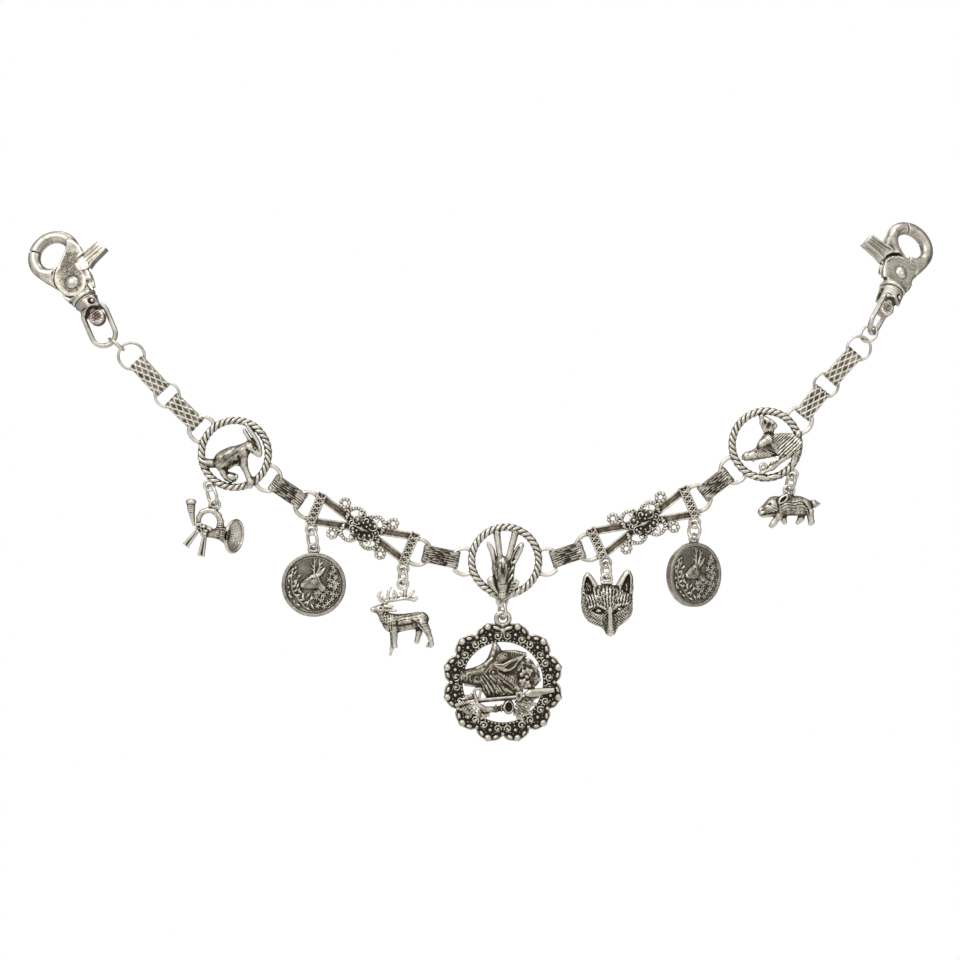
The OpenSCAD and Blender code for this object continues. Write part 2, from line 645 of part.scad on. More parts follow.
module clasp_hook() {
  color(silver) difference() {
    union() {
      hook_arc(hook_foot, lap_to);
      front_layer() {
        circle(r = plate_r, $fn = smooth);
        polygon([[-6.9, -0.4], [-4.2, -0.2], [-3.0, 3.9], [3.2, 3.9], [7.4, 8.0], [6.0, 3.4], [5.5, 0],
          [5.3, -3.4], [4.5, collar_top - 0.4], [-4.4, collar_top - 0.4], [-6.1, -3.4]]);
      }
      whole_layer() polygon([[1.2, 5.6], [7.4, 8.6], [6.3, 4.2], [5.7, 1.6], [4.6, 3.0]]);
      whole_layer()
        polygon([[5.5, -1.6], [5.3, -3.6], [4.5, collar_top - 1], [-4.2, collar_top - 1], [-4.6, -5.0]]);
      translate([0, collar_top, 0]) rotate([90, 0, 0])
        cylinder(d = collar_d, h = collar_top - collar_bottom, $fn = smooth);
    }
    lap_cut(lap_from, lap_to + 2, -1);
    // room for the lever's disc and its rounded edge as it turns
    translate([0, 0, -body_t - lap_gap / 2 + lap_gap])
      cylinder(r = swing_r, h = body_t, $fn = smooth);
    intersection() {
      translate([0, 0, -body_t + lap_gap / 2]) cylinder(r = bulge_r + 0.35, h = body_t, $fn = smooth);
      translate([-13.4, -10, -body_t]) cube([10, 20, 2 * body_t]);
    }
    cylinder(d = rivet_d + 2 * bore_play, h = 3 * body_t, center = true, $fn = smooth);
    translate([0, collar_bottom - 1, 0]) rotate([-90, 0, 0])
      cylinder(d = pin_bore_d, h = 1.2 + pin_shelf, $fn = smooth);
    translate([0, collar_bottom + pin_shelf, 0]) rotate([-90, 0, 0])
      cylinder(d = pin_head_d + 2 * pin_play, h = pin_head_h + 2 * pin_play, $fn = smooth);
  }
}

module clasp_lever() {
  color(bright_silver) difference() {
    union() {
      hook_arc(lap_from + 1.5, lever_foot);
      back_layer() {
        circle(r = plate_r, $fn = smooth);
        polygon([[0, 0], bulge_r * direction(174), bulge_r * direction(187), bulge_r * direction(200),
          bulge_r * direction(209)]);
        polygon([[0, 0], bulge_r * direction(176), [-8.6, 3.6], [-6.4, 7.0], [-2.0, 4.8]]);
      }
      whole_layer() polygon([[-4.6, 2.9], [-6.6, 2.6], [-7.3, 0.9], [-9.6, 2.0], [-16.0, 2.7], [-15.0, 6.4],
        [-9.2, 7.0], [-6.4, 8.4], [-3.4, 7.6], [-2.6, 5.2]]);
    }
    lap_cut(lap_from, lap_to + 1.5, 1);
    translate([0, 0, -lap_gap / 2]) cylinder(r = swing_r, h = body_t, $fn = smooth);
    cylinder(d = rivet_d + 2 * bore_play, h = 3 * body_t, center = true, $fn = smooth);
  }
}

rivet_head_d = 3.9;
rivet_head_h = 0.9;
module rivet_head() {
  ball_r = (pow(rivet_head_d / 2, 2) + pow(rivet_head_h, 2)) / (2 * rivet_head_h);
  intersection() {
    translate([0, 0, rivet_head_h - ball_r]) sphere(r = ball_r, $fn = smooth);
    cylinder(d = rivet_head_d, h = rivet_head_h + 1, $fn = smooth);
  }
}

module clasp_rivet() {
  head_z = body_t / 2 + 0.06;
  color(bright_silver) {
    cylinder(d = rivet_d, h = 2 * head_z + 0.2, center = true, $fn = smooth);
    translate([0, 0, head_z]) rivet_head();
    translate([0, 0, -head_z]) rotate([180, 0, 0]) rivet_head();
  }
}

// Swivel pin: a head held in the collar, a barrel with a slot for the oval ring, and a round end
barrel_top = collar_bottom - pin_play;
barrel_bottom = -12.3;
barrel_top_d = 7.2;
barrel_bottom_d = 5.8;
slot_w = 2.9;
slot_top = swivel_hole_y + 1.0;
slot_bottom = swivel_hole_y - 2.2;
flat_half = 2.45;
end_ball_r = 2.6;
end_ball_y = -14.4;

pin_head_top = collar_bottom + pin_shelf + pin_play + pin_head_h;

module turned_from(y, d1, d2, h) {
  translate([0, y, 0]) rotate([90, 0, 0]) cylinder(d1 = d1, d2 = d2, h = h, $fn = smooth);
}

module swivel_pin() {
  color(silver) difference() {
    union() {
      turned_from(barrel_top, barrel_top_d, barrel_bottom_d, barrel_top - barrel_bottom);
      translate([0, end_ball_y, 0]) sphere(r = end_ball_r, $fn = smooth);
      turned_from(pin_head_top, pin_head_d, pin_head_d, pin_head_h);
      turned_from(pin_head_top, pin_bore_d - 2 * pin_play, pin_bore_d - 2 * pin_play, 2.4);
    }
    translate([-10, slot_bottom, -slot_w / 2]) cube([20, slot_top - slot_bottom, slot_w]);
    for (side = [-1, 1]) translate([side * (flat_half + 5), slot_bottom - 1 + 5, 0])
      cube([10, 10, 4.6], center = true);
  }
}

module swivel_oval() {
  color(bright_silver) {
    for (side = [0, 180]) rotate([0, 0, side]) {
      translate([0, swivel_straight / 2, 0]) wire_arc(swivel_bow_r, swivel_wire, 0, 180);
      translate([swivel_bow_r, -swivel_straight / 2, 0]) rotate([-90, 0, 0])
        cylinder(d = swivel_wire, h = swivel_straight, $fn = smooth);
    }
  }
}

// Each clasp lies along its own axis, which leans sideways by its turn and back by its tilt
function lean(turn, tilt) = [-sin(turn) * cos(tilt), sin(tilt), cos(turn) * cos(tilt)];
viewer = [0, -1, 0];
function spun(v, axis, angle) = v * cos(angle) + cross(axis, v) * sin(angle);

module placed(at, along, face) {
  side = cross(along, face);
  multmatrix([
    [side[0], along[0], face[0], at[0]],
    [side[1], along[1], face[1], at[1]],
    [side[2], along[2], face[2], at[2]]
  ]) children();
}

function flat(at) = [at[0], chain_y, at[1]];

// Left clasp, seen from its back: its eye is the origin
left_turn = 36;
left_tilt = 13;
left_axis = lean(left_turn, left_tilt);
left_face = -across(viewer, left_axis);
left_rivet = -eye_y * left_axis;
left_hole = left_rivet + swivel_hole_y * left_axis;
chain_y = left_hole[1];
left_swing_angle = 34;
left_ring_lean = 22.8;
left_bow_centre = [left_hole[0], left_hole[2]] + swivel_bow_r * direction(left_swing_angle - 90);
left_oval_at = left_bow_centre + swivel_straight / 2 * direction(left_ring_lean - 90);
left_oval_foot = left_oval_at + swivel_straight / 2 * direction(left_ring_lean - 90);
left_pull = heading(left_oval_foot, left_ring_at[0]);

module on_left_clasp() {
  placed(left_rivet, left_axis, left_face) children();
}
module left_clasp_hook() { on_left_clasp() clasp_hook(); }
module left_clasp_lever() { on_left_clasp() clasp_lever(); }
module left_clasp_rivet() { on_left_clasp() clasp_rivet(); }
module left_swivel_pin() { on_left_clasp() swivel_pin(); }
module left_swivel_ring() { stood(left_oval_at, left_ring_lean) swivel_oval(); }
module left_end_ring() {
  color(bright_silver) holding_ring(
    left_oval_foot + swivel_bow_r * direction(left_pull), swivel_wire / 2,
    left_ring_at[0] - left_ring_r[0] * direction(left_pull), link_wire / 2, link_wire, 84);
}

// Right clasp, seen from its front, with its hook leaning back and its ring edge-on
right_end_r = 2.9;
right_end_reach = 5.9;
right_end_angle = 55;
right_end_tilt = -37;
right_end_at = right_ring_at[1] + right_end_reach * direction(right_end_angle);
right_foot_rise = 1.1;
right_oval_foot = flat(right_end_at + right_foot_rise * direction(right_end_angle + 10));
right_oval_axis = lean(-31, 21);
right_oval_face = spun(across([1, 0, 0], right_oval_axis), right_oval_axis, -16);
right_oval_at = right_oval_foot + (swivel_bow_r + swivel_straight / 2) * right_oval_axis;
right_axis = lean(-24, 26);
right_face = spun(across(viewer, right_axis), right_axis, 15);
right_hole = right_oval_at + swivel_straight / 2 * right_oval_axis
  + swivel_bow_r * across(right_axis, right_oval_face);
right_rivet = right_hole - swivel_hole_y * right_axis;

module on_right_clasp() {
  placed(right_rivet, right_axis, right_face) children();
}
module right_clasp_hook() { on_right_clasp() clasp_hook(); }
module right_clasp_lever() { on_right_clasp() clasp_lever(); }
module right_clasp_rivet() { on_right_clasp() clasp_rivet(); }
module right_swivel_pin() {
  placed(right_rivet, right_axis, across(right_oval_face, right_axis)) swivel_pin();
}
module right_swivel_ring() { placed(right_oval_at, right_oval_axis, right_oval_face) swivel_oval(); }
module right_end_ring() {
  color(bright_silver) stood(right_end_at, right_end_angle, right_end_tilt) wire_ring(right_end_r, link_wire);
}

left_clasp_hook();
left_clasp_lever();
left_clasp_rivet();
left_swivel_pin();
left_swivel_ring();
right_clasp_hook();
right_clasp_lever();
right_clasp_rivet();
right_swivel_pin();
right_swivel_ring();
left_end_ring();
left_strip_ring_a();
left_strip_ring_b();
right_strip_ring_a();
right_strip_ring_b();
right_end_ring();
strip_1();
strip_2();
strip_3();
strip_4();
strip_5();
strip_6();
strip_7();
strip_8();
hare_roundel();
roebuck_roundel();
grouse_roundel();
left_bow();
right_bow();
horn_ring();
left_coin_ring();
stag_ring();
pendant_ring();
fox_ring();
right_coin_ring();
boar_ring();
horn_charm();
left_coin();
stag_charm();
boar_head_pendant();
fox_charm();
right_coin();
boar_charm();
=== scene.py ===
import functools
import math

import bpy
import numpy as np
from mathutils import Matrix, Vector


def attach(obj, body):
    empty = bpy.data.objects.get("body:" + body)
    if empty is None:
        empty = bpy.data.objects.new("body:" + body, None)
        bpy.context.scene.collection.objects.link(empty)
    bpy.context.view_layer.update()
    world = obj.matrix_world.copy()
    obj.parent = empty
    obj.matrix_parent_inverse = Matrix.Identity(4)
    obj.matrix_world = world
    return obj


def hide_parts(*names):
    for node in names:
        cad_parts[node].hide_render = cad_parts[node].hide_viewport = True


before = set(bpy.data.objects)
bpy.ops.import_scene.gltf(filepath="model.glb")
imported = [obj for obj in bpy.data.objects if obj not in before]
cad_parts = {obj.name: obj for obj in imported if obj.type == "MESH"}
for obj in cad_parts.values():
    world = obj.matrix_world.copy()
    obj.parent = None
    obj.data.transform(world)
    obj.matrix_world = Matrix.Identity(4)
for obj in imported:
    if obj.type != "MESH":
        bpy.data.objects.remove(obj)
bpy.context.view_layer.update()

# Lengths are in mm until a mesh is made. Flat pieces are drawn x right, y up, z to the viewer.
TAU = 2 * math.pi
MM = 0.001
CHAIN_Y = -4.79146
ROUNDEL_AT = [(60.9, -66.3), (151, -101.9), (237.8, -63.2)]
ROUNDEL_LUG = [230.8, 265.6, -48.3]
ROUNDEL_LOOPS = [(143.4, -36.5), (181.3, -1.7), (218.5, 35.8)]
BOW_AT = [(103.5, -91.2), (197.05, -89.3)]
BOW_TURN = [-23.1, 24.2]
BOW_L = 33.7
BOW_LOOP_X = BOW_L / 2 + 3
BOW_LUG_X = [(-BOW_L / 2 + 1.2, BOW_L / 2 + 0.8), (-BOW_L / 2, BOW_L / 2 - 1.2)]
CHARM_AT = {
    "horn": (54.2, -83.3), "left_coin": (87.2, -98), "stag": (116.9, -109.7), "pendant": (150.2, -121.3),
    "fox": (184.8, -107.9), "right_coin": (213.9, -94.7), "boar": (245.6, -78.4)
}
# half loops and lugs of roundels and bows: radius and wire
LOOP = (4.35, 1.35)
LUG = (1.65, 1.0)
LOOP_OUT, LUG_OUT = 13.65, 13.5
# thin end rings that a strip is folded over: centre, radius and wire
LEFT_RINGS = [((26.4, -33.7), 4.4, 0.9), ((38.3, -46.7), 4.1, 0.9)]
RIGHT_RINGS = [((258, -43.3), 4.1, 0.9), ((268.9, -31.1), 4.0, 0.9)]
PENDANT_DROP = 21.1
COIN_DROP = 11.9
# clasps: rivet, direction of the hook and direction of its face
CLASPS = { "left": ((6.87264, -2.69941, -9.45938), (-0.57272, 0.224951, 0.788282), (0.132223, 0.97437, -0.181989)),
          "right": ((283.243, 4.64469, -5.92905), (0.365572, 0.438371, 0.821089), (0.408669, -0.868168, 0.281555))}


def turned(p, degrees):
    c, s = math.cos(math.radians(degrees)), math.sin(math.radians(degrees))
    return p[0] * c - p[1] * s, p[0] * s + p[1] * c


def polar(r, degrees):
    return r * math.cos(math.radians(degrees)), r * math.sin(math.radians(degrees))


# Placing: each gives a function from the piece's own points to the frame
def stood(at, turn=0, tilt=0):
    def place(p):
        _, y, z = p.T
        c, s = math.cos(math.radians(tilt)), math.sin(math.radians(tilt))
        y, z = y * c - z * s, y * s + z * c
        x, y = turned((p[:, 0], y), turn)
        return np.stack([at[0] + x, CHAIN_Y - z, at[1] + y], 1)
    return place


def hung(at, turn=0):
    def place(p):
        x, y = turned((p[:, 0], -p[:, 2]), turn)
        return np.stack([at[0] + x, CHAIN_Y + y, at[1] + p[:, 1]], 1)
    return place


def placed(at, along, face):
    side = np.cross(along, face)
    return lambda p: np.array(at) + p @ np.stack([side, along, face])


# Sculpting: a signed distance on a grid, joined piece by piece, that holds for REACH past each form
REACH = 1.2
EMPTY = 2.0
# radii of the surroundings that a point's height is compared with
NEAR, FAR = 0.3, 1.0


class Sculpt:
    def __init__(self, lo, hi, step):
        self.step = step
        counts = [int(math.ceil((h - l) / step)) + 1 for l, h in zip(lo, hi)]
        self.axes = [(l + step * np.arange(n)).astype(np.float32) for l, n in zip(lo, counts)]
        self.d = np.full(counts, EMPTY, np.float32)

    def window(self, lo, hi):
        cut = []
        for a, l, h in zip(self.axes, lo, hi):
            cut.append(slice(int(np.searchsorted(a, l)), int(np.searchsorted(a, h)) + 1))
        x, y, z = (a[c] for a, c in zip(self.axes, cut))
        return tuple(cut), x[:, None, None], y[None, :, None], z[None, None, :]

    def add(self, form, k=0.0, sign=1):
        """Join a form on, with a fillet about k wide."""
        lo, hi, distance = form
        margin = REACH + k
        w, x, y, z = self.window(np.array(lo) - margin, np.array(hi) + margin)
        if self.d[w].size:
            self.d[w] = sign * smooth_min(sign * self.d[w], distance(x, y, z), k)

    def cut(self, form, k=0.0):
        self.add(form, k, -1)

    def carve(self, lo, hi, depth):
        """Lower the surface by depth in a box."""
        w, x, y, z = self.window(lo, hi)
        self.d[w] += depth(x, y, z).astype(np.float32)

    # Tables. A limb or groove runs from x, y, z, radius to x, y, z, radius, and a shorter row goes on from
    # the end of the last one. A boss or pit lies at x, y, z and has up to three radii and a turn. Grooves,
    # bosses and pits end each row with its fillet
    def limbs(self, rows, k=0.4, flat=1.0):
        end = ()
        for row in rows:
            row = (*end[:8 - len(row)], *row)
            self.add(limb(row[:3], row[3], row[4:7], row[7], flat), k)
            end = row[4:]

    def grooves(self, *rows):
        end = ()
        for *row, k in rows:
            row = (*end[:8 - len(row)], *row)
            self.cut(limb(row[:3], row[3], row[4:7], row[7]), k)
            end = row[4:]

    def bosses(self, *rows):
        for *row, k in rows:
            self.add(ball(row[:3], *row[3:]), k)

    def pits(self, *rows):
        for *row, k in rows:
            self.cut(ball(row[:3], *row[3:]), k)

    def strokes(self, lo, hi, depth, along, across, wide, long, seed, where=lambda x, y: 1):
        """Hair in a box. Along and across are shares of x and of y."""
        self.carve(lo, hi, lambda x, y, z: depth * hair(
            along[0] * x + along[1] * y, across[0] * x + across[1] * y, wide, long, seed) * where(x, y))

    def relief(self):
        """How far the surface stands out of its near and of its far surroundings."""
        d = np.clip(self.d, -REACH, REACH)
        return [blurred(d, max(1, round(r / self.step))) - d for r in (NEAR, FAR)]

    def surface(self):
        """Points, four-sided faces and the relief at each point, by surface nets."""
        d = self.d
        inside = d < 0
        corners = [(i, j, k) for i in (0, 1) for j in (0, 1) for k in (0, 1)]
        n = [s - 1 for s in d.shape]

        def corner(a, c):
            return a[c[0]:c[0] + n[0], c[1]:c[1] + n[1], c[2]:c[2] + n[2]]
        count = sum(corner(inside, c).astype(np.int8) for c in corners)
        mixed = (count > 0) & (count < 8)
        cells = np.argwhere(mixed)
        value = np.stack([corner(d, c)[mixed] for c in corners], 1)
        point = np.zeros((len(cells), 3))
        hits = np.zeros(len(cells))
        for i, a in enumerate(corners):
            for j, b in enumerate(corners):
                if j > i and sum(u != v for u, v in zip(a, b)) == 1:
                    crossed = (value[:, i] < 0) != (value[:, j] < 0)
                    t = value[:, i] / np.where(crossed, value[:, i] - value[:, j], 1)
                    at = np.array(a) + t[:, None] * (np.array(b) - np.array(a))
                    point += np.where(crossed[:, None], at, 0)
                    hits += crossed
        point = point / hits[:, None] + cells
        number = np.full(mixed.shape, -1, np.int32)
        number[mixed] = np.arange(len(cells))
        faces = []
        for axis in range(3):
            u, v = (axis + 1) % 3, (axis + 2) % 3
            low = [slice(0, s) for s in d.shape]
            low[axis] = slice(0, d.shape[axis] - 1)
            high = list(low)
            high[axis] = slice(1, d.shape[axis])
            for c in (u, v):
                low[c] = high[c] = slice(1, d.shape[c] - 1)
            first, second = inside[tuple(low)], inside[tuple(high)]
            for leaving in (True, False):
                edge = np.argwhere((first if leaving else second) & ~(second if leaving else first))
                edge[:, u] += 1
                edge[:, v] += 1
                ring = []
                for du, dv in ((-1, -1), (0, -1), (0, 0), (-1, 0)):
                    cell = edge.copy()
                    cell[:, u] += du
                    cell[:, v] += dv
                    ring.append(number[tuple(cell.T)])
                ring = np.stack(ring, 1)
                faces.append(ring if leaving else ring[:, ::-1])
        faces = np.concatenate(faces)
        faces = faces[(faces >= 0).all(1)]
        near, far = (sum(corner(e, c)[mixed] for c in corners) / 8 for e in self.relief())
        origin = np.array([a[0] for a in self.axes])
        return origin + point * self.step, faces, near, far


def smooth_min(a, b, k):
    if k <= 0:
        return np.minimum(a, b)
    h = np.clip(k - np.abs(a - b), 0, None) / k
    return np.minimum(a, b) - h * h * k / 4


def within(*distances):
    """What several forms have in common."""
    return functools.reduce(np.maximum, distances)


def slab(z, z0, z1):
    return np.abs(z - (z0 + z1) / 2) - (z1 - z0) / 2


def blurred(d, r):
    for axis in range(3):
        d = np.moveaxis(d, axis, 0)
        padded = np.concatenate([d[:1].repeat(r + 1, 0), d, d[-1:].repeat(r, 0)])
        total = np.cumsum(padded, 0, dtype=np.float64)
        d = ((total[2 * r + 1:] - total[:-2 * r - 1]) / (2 * r + 1)).astype(np.float32)
        d = np.moveaxis(d, 0, axis)
    return d


# Forms: each is (lowest corner, highest corner, distance)
def limb(a, ra, b, rb, flat=1.0):
    a, b = np.array(a, float), np.array(b, float)
    v = b - a
    r = max(ra, rb)
    length = max(v @ v, 1e-9)

    def distance(x, y, z):
        t = np.clip(((x - a[0]) * v[0] + (y - a[1]) * v[1] + (z - a[2]) * v[2]) / length, 0, 1)
        across = (x - a[0] - t * v[0]) ** 2 + (y - a[1] - t * v[1]) ** 2
        return np.sqrt(across + ((z - a[2] - t * v[2]) / flat) ** 2) - (ra + (rb - ra) * t)
    return np.minimum(a, b) - r, np.maximum(a, b) + r, distance


def ball(c, r, ry=None, rz=None, turn=0):
    ry, rz = ry or r, rz or r
    reach = max(r, ry)

    def distance(x, y, z):
        u, v = turned((x - c[0], y - c[1]), -turn)
        q = np.sqrt((u / r) ** 2 + (v / ry) ** 2 + ((z - c[2]) / rz) ** 2)
        return (q - 1) * min(r, ry, rz)
    return np.array(c) - (reach, reach, rz), np.array(c) + (reach, reach, rz), distance


def hoop(c, r, wire, start=None, sweep=None, flat=1.0, beads=0, bead=0.25):
    """A ring or arc of wire in its own plane, plain or beaded."""
    reach = r + wire / 2

    def distance(x, y, z):
        u, v, w = x - c[0], y - c[1], (z - c[2]) / flat
        half = wire / 2
        angle = np.arctan2(v, u)
        if beads:
            half = half * (1 - bead + bead * 1.4 * np.sqrt(np.abs(np.sin(angle * beads / 2))))
        d = np.sqrt((np.sqrt(u * u + v * v) - r) ** 2 + w * w) - half
        if sweep is None:
            return d
        off = (np.degrees(angle) - start) % 360
        ends = [polar(r, start), polar(r, start + sweep)]
        tips = [np.sqrt((u - e[0]) ** 2 + (v - e[1]) ** 2 + w * w) - wire / 2 for e in ends]
        return np.where(off <= sweep, d, np.minimum(*tips))
    return np.array(c) - (reach, reach, wire / 2 * flat), np.array(c) + (reach, reach, wire / 2 * flat), distance


def outline(x, y, points):
    """Signed distance to a polygon in x and y."""
    d = np.full(np.broadcast(x, y).shape, 1e9)
    inside = np.zeros(d.shape, bool)
    for (x0, y0), (x1, y1) in zip(points, points[1:] + points[:1]):
        ex, ey = x1 - x0, y1 - y0
        t = np.clip(((x - x0) * ex + (y - y0) * ey) / (ex * ex + ey * ey), 0, 1)
        d = np.minimum(d, (x - x0 - t * ex) ** 2 + (y - y0 - t * ey) ** 2)
        if ey:
            inside ^= ((y0 <= y) != (y1 <= y)) & (x < ex * (y - y0) / ey + x0)
    return np.where(inside, -np.sqrt(d), np.sqrt(d))


def plate(points, z0, z1, k=0.2):
    """A flat plate with softened edges."""
    points = [tuple(p) for p in points]
    lo, hi = np.min(points, 0), np.max(points, 0)

    def distance(x, y, z):
        return -smooth_min(-outline(x, y, points), -slab(z, z0, z1), k)
    return (*lo, z0), (*hi, z1), distance


def cushion(points, z, height, width):
    """A plate that swells from its edge to its middle."""
    points = [tuple(p) for p in points]
    lo, hi = np.min(points, 0), np.max(points, 0)

    def distance(x, y, zz):
        edge = outline(x, y, points)
        thin = min(0.3, 0.4 * height)
        rise = thin + (height - thin) * np.clip(-edge / width, 0, 1) ** 0.6
        return -smooth_min(-edge, rise - np.abs(zz - z), 0.15)
    return (*lo, z - height), (*hi, z + height), distance


def bar(a, b, width, z0, z1, k=0.15):
    x, y = b[0] - a[0], b[1] - a[1]
    n = math.hypot(x, y) * 2 / width
    x, y = x / n, y / n
    return plate([(a[0] + y, a[1] - x), (b[0] + y, b[1] - x), (b[0] - y, b[1] + x), (a[0] - y, a[1] + x)], z0, z1, k)


def hair(u, v, wide, long, seed=0.0):
    """Short tapering strokes along u in two broken layers: 1 in the grooves, -1 on the ridges."""
    height = 0
    for n, (w, l) in enumerate(((wide, long), (wide * 0.83, long * 0.7))):
        bend = v + 0.12 * w * np.sin(TAU * u / (2.3 * l) + seed + n)
        row = np.floor(bend / w)
        # each row starts somewhere else, by the usual sine hash
        shift = np.abs(np.sin(row * 12.9898 + seed * 7.23 + n * 4.1) * 43758.5453) % 1
        t = (u / l + shift) % 1
        across = np.abs((bend / w) % 1 - 0.5) * 2
        stroke = np.clip(1 - across / (1.05 - 0.65 * t), 0, 1)
        height = np.maximum(height, np.sqrt(stroke) * np.clip(t * 7, 0, 1) * (1 - 0.35 * t))
    return 1 - 2 * height


def leaf(sculpt, at, turn, length, width, z, rise=0.5, lobes=0):
    """A leaf from its foot, with a midrib and, on oak, lobes."""
    def outline_at(t):
        w = width / 2 * math.sin(math.pi * min(1, t * 0.96 + 0.03)) ** 0.7
        return w * (1 + (0.28 * math.cos(TAU * t * lobes) if lobes else 0))
    ts = np.linspace(0, 1, 25 if lobes else 13)
    edge = [(t * length, outline_at(t)) for t in ts] + [(t * length, -outline_at(t)) for t in ts[::-1]]
    edge = [tuple(np.add(at, turned(p, turn))) for p in edge]
    sculpt.add(cushion(edge, z, rise, width * 0.35), 0.12)
    tip = np.add(at, turned((length * 0.9, 0), turn))
    sculpt.cut(limb((*at, z + rise), 0.14, (*tip, z + rise), 0.1), 0.1)


def lighten(piece, ratio):
    """Keep this share of the piece's triangles."""
    piece.modifiers.new("lighter", "DECIMATE").ratio = ratio
    bpy.context.view_layer.update()
    ready = bpy.data.meshes.new_from_object(piece.evaluated_get(bpy.context.evaluated_depsgraph_get()))
    piece.modifiers.clear()
    piece.data = ready


def shaded(mesh, shades):
    """Store the values that the materials read at each point."""
    for key, values in shades.items():
        mesh.attributes.new(key, "FLOAT", "POINT").data.foreach_set("value", values.astype(np.float32))


def make(name, sculpt, place, material, body, node, triangles, matt=None):
    """A piece from its sculpture: it rides a body and takes the place of a CAD node."""
    points, quads, near, far = sculpt.surface()
    mesh = bpy.data.meshes.new(name)
    mesh.vertices.add(len(points))
    mesh.vertices.foreach_set("co", (place(points) * MM).astype(np.float32).ravel())
    mesh.loops.add(quads.size)
    mesh.loops.foreach_set("vertex_index", quads.astype(np.int32).ravel())
    mesh.polygons.add(len(quads))
    mesh.polygons.foreach_set("loop_start", np.arange(0, quads.size, 4, dtype=np.int32))
    mesh.update(calc_edges=True)
    mesh.shade_smooth()
    normal = np.cross(points[quads[:, 2]] - points[quads[:, 0]], points[quads[:, 3]] - points[quads[:, 1]])
    normal = np.stack([np.bincount(quads.ravel(), np.repeat(a, 4), len(points)) for a in normal.T], 1)
    # how far each point turns away from the front: the materials paint shade on these sides
    painted_side_shade = 1 - np.abs(normal[:, 2]) / np.maximum(np.linalg.norm(normal, axis=1), 1e-9)
    shades = {"near": near, "far": far, "painted_side_shade": painted_side_shade}
    if matt:
        shades["matt"] = matt(points)
    shaded(mesh, shades)
    piece = bpy.data.objects.new(name, mesh)
    bpy.context.scene.collection.objects.link(piece)
    if 2 * len(quads) > triangles:
        lighten(piece, triangles / (2 * len(quads)))
    piece.data.materials.clear()
    piece.data.materials.append(material)
    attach(piece, body)
    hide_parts(node)


# Materials
class Shader:
    def __init__(self, name):
        self.material = bpy.data.materials.new(name)
        self.material.use_nodes = True
        self.tree = self.material.node_tree
        self.bsdf = self.tree.nodes["Principled BSDF"]

    def give(self, socket, value):
        """Link the value when it is another node's output, or else set it."""
        if isinstance(value, bpy.types.NodeSocket):
            self.tree.links.new(value, socket)
        else:
            socket.default_value = value

    def node(self, kind, out=0, _props=None, **inputs):
        """Add a node and give its output. An input is named, or numbered as _0, _1 and so on."""
        n = self.tree.nodes.new("ShaderNode" + kind)
        for key, value in (_props or {}).items():
            setattr(n, key, value)
        for key, value in inputs.items():
            self.give(n.inputs[int(key[1:]) if key[0] == "_" else key], value)
        return n.outputs[out]

    def attribute(self, name):
        return self.node("Attribute", 2, _props={"attribute_name": name})

    def math(self, operation, a, b=0.0, clamp=False):
        return self.node("Math", _props={"operation": operation, "use_clamp": clamp}, _0=a, _1=b)

    def ramp(self, value, stops):
        n = self.tree.nodes.new("ShaderNodeValToRGB")
        while len(n.color_ramp.elements) < len(stops):
            n.color_ramp.elements.new(0.5)
        for element, (at, colour) in zip(n.color_ramp.elements, stops):
            element.position = at
            element.color = ((colour,) * 3 if isinstance(colour, float) else colour) + (1,)
        self.tree.links.new(value, n.inputs[0])
        return n.outputs[0]

    def noise(self, scale, detail):
        return self.node("TexNoise", Vector=self.node("TexCoord", 3), Scale=scale, Detail=detail)

    def map(self, value, a, b, c, d):
        return self.node("MapRange", _props={"clamp": True}, _0=value, _1=a, _2=b, _3=c, _4=d)

    def finish(self, colour, metallic, roughness, height, strength, distance):
        bump = self.node("Bump", Height=height, Strength=strength, Distance=distance)
        for name, value in (
            ("Base Color", colour), ("Metallic", metallic), ("Roughness", roughness), ("Normal", bump)
        ):
            self.give(self.bsdf.inputs[name], value)
        return self.material


LIGHT = (0.66, 0.62, 0.54)
BRIGHT = (0.86, 0.82, 0.74)
MIDDLE = (0.36, 0.33, 0.275)
OXIDE = (0.035, 0.03, 0.022)


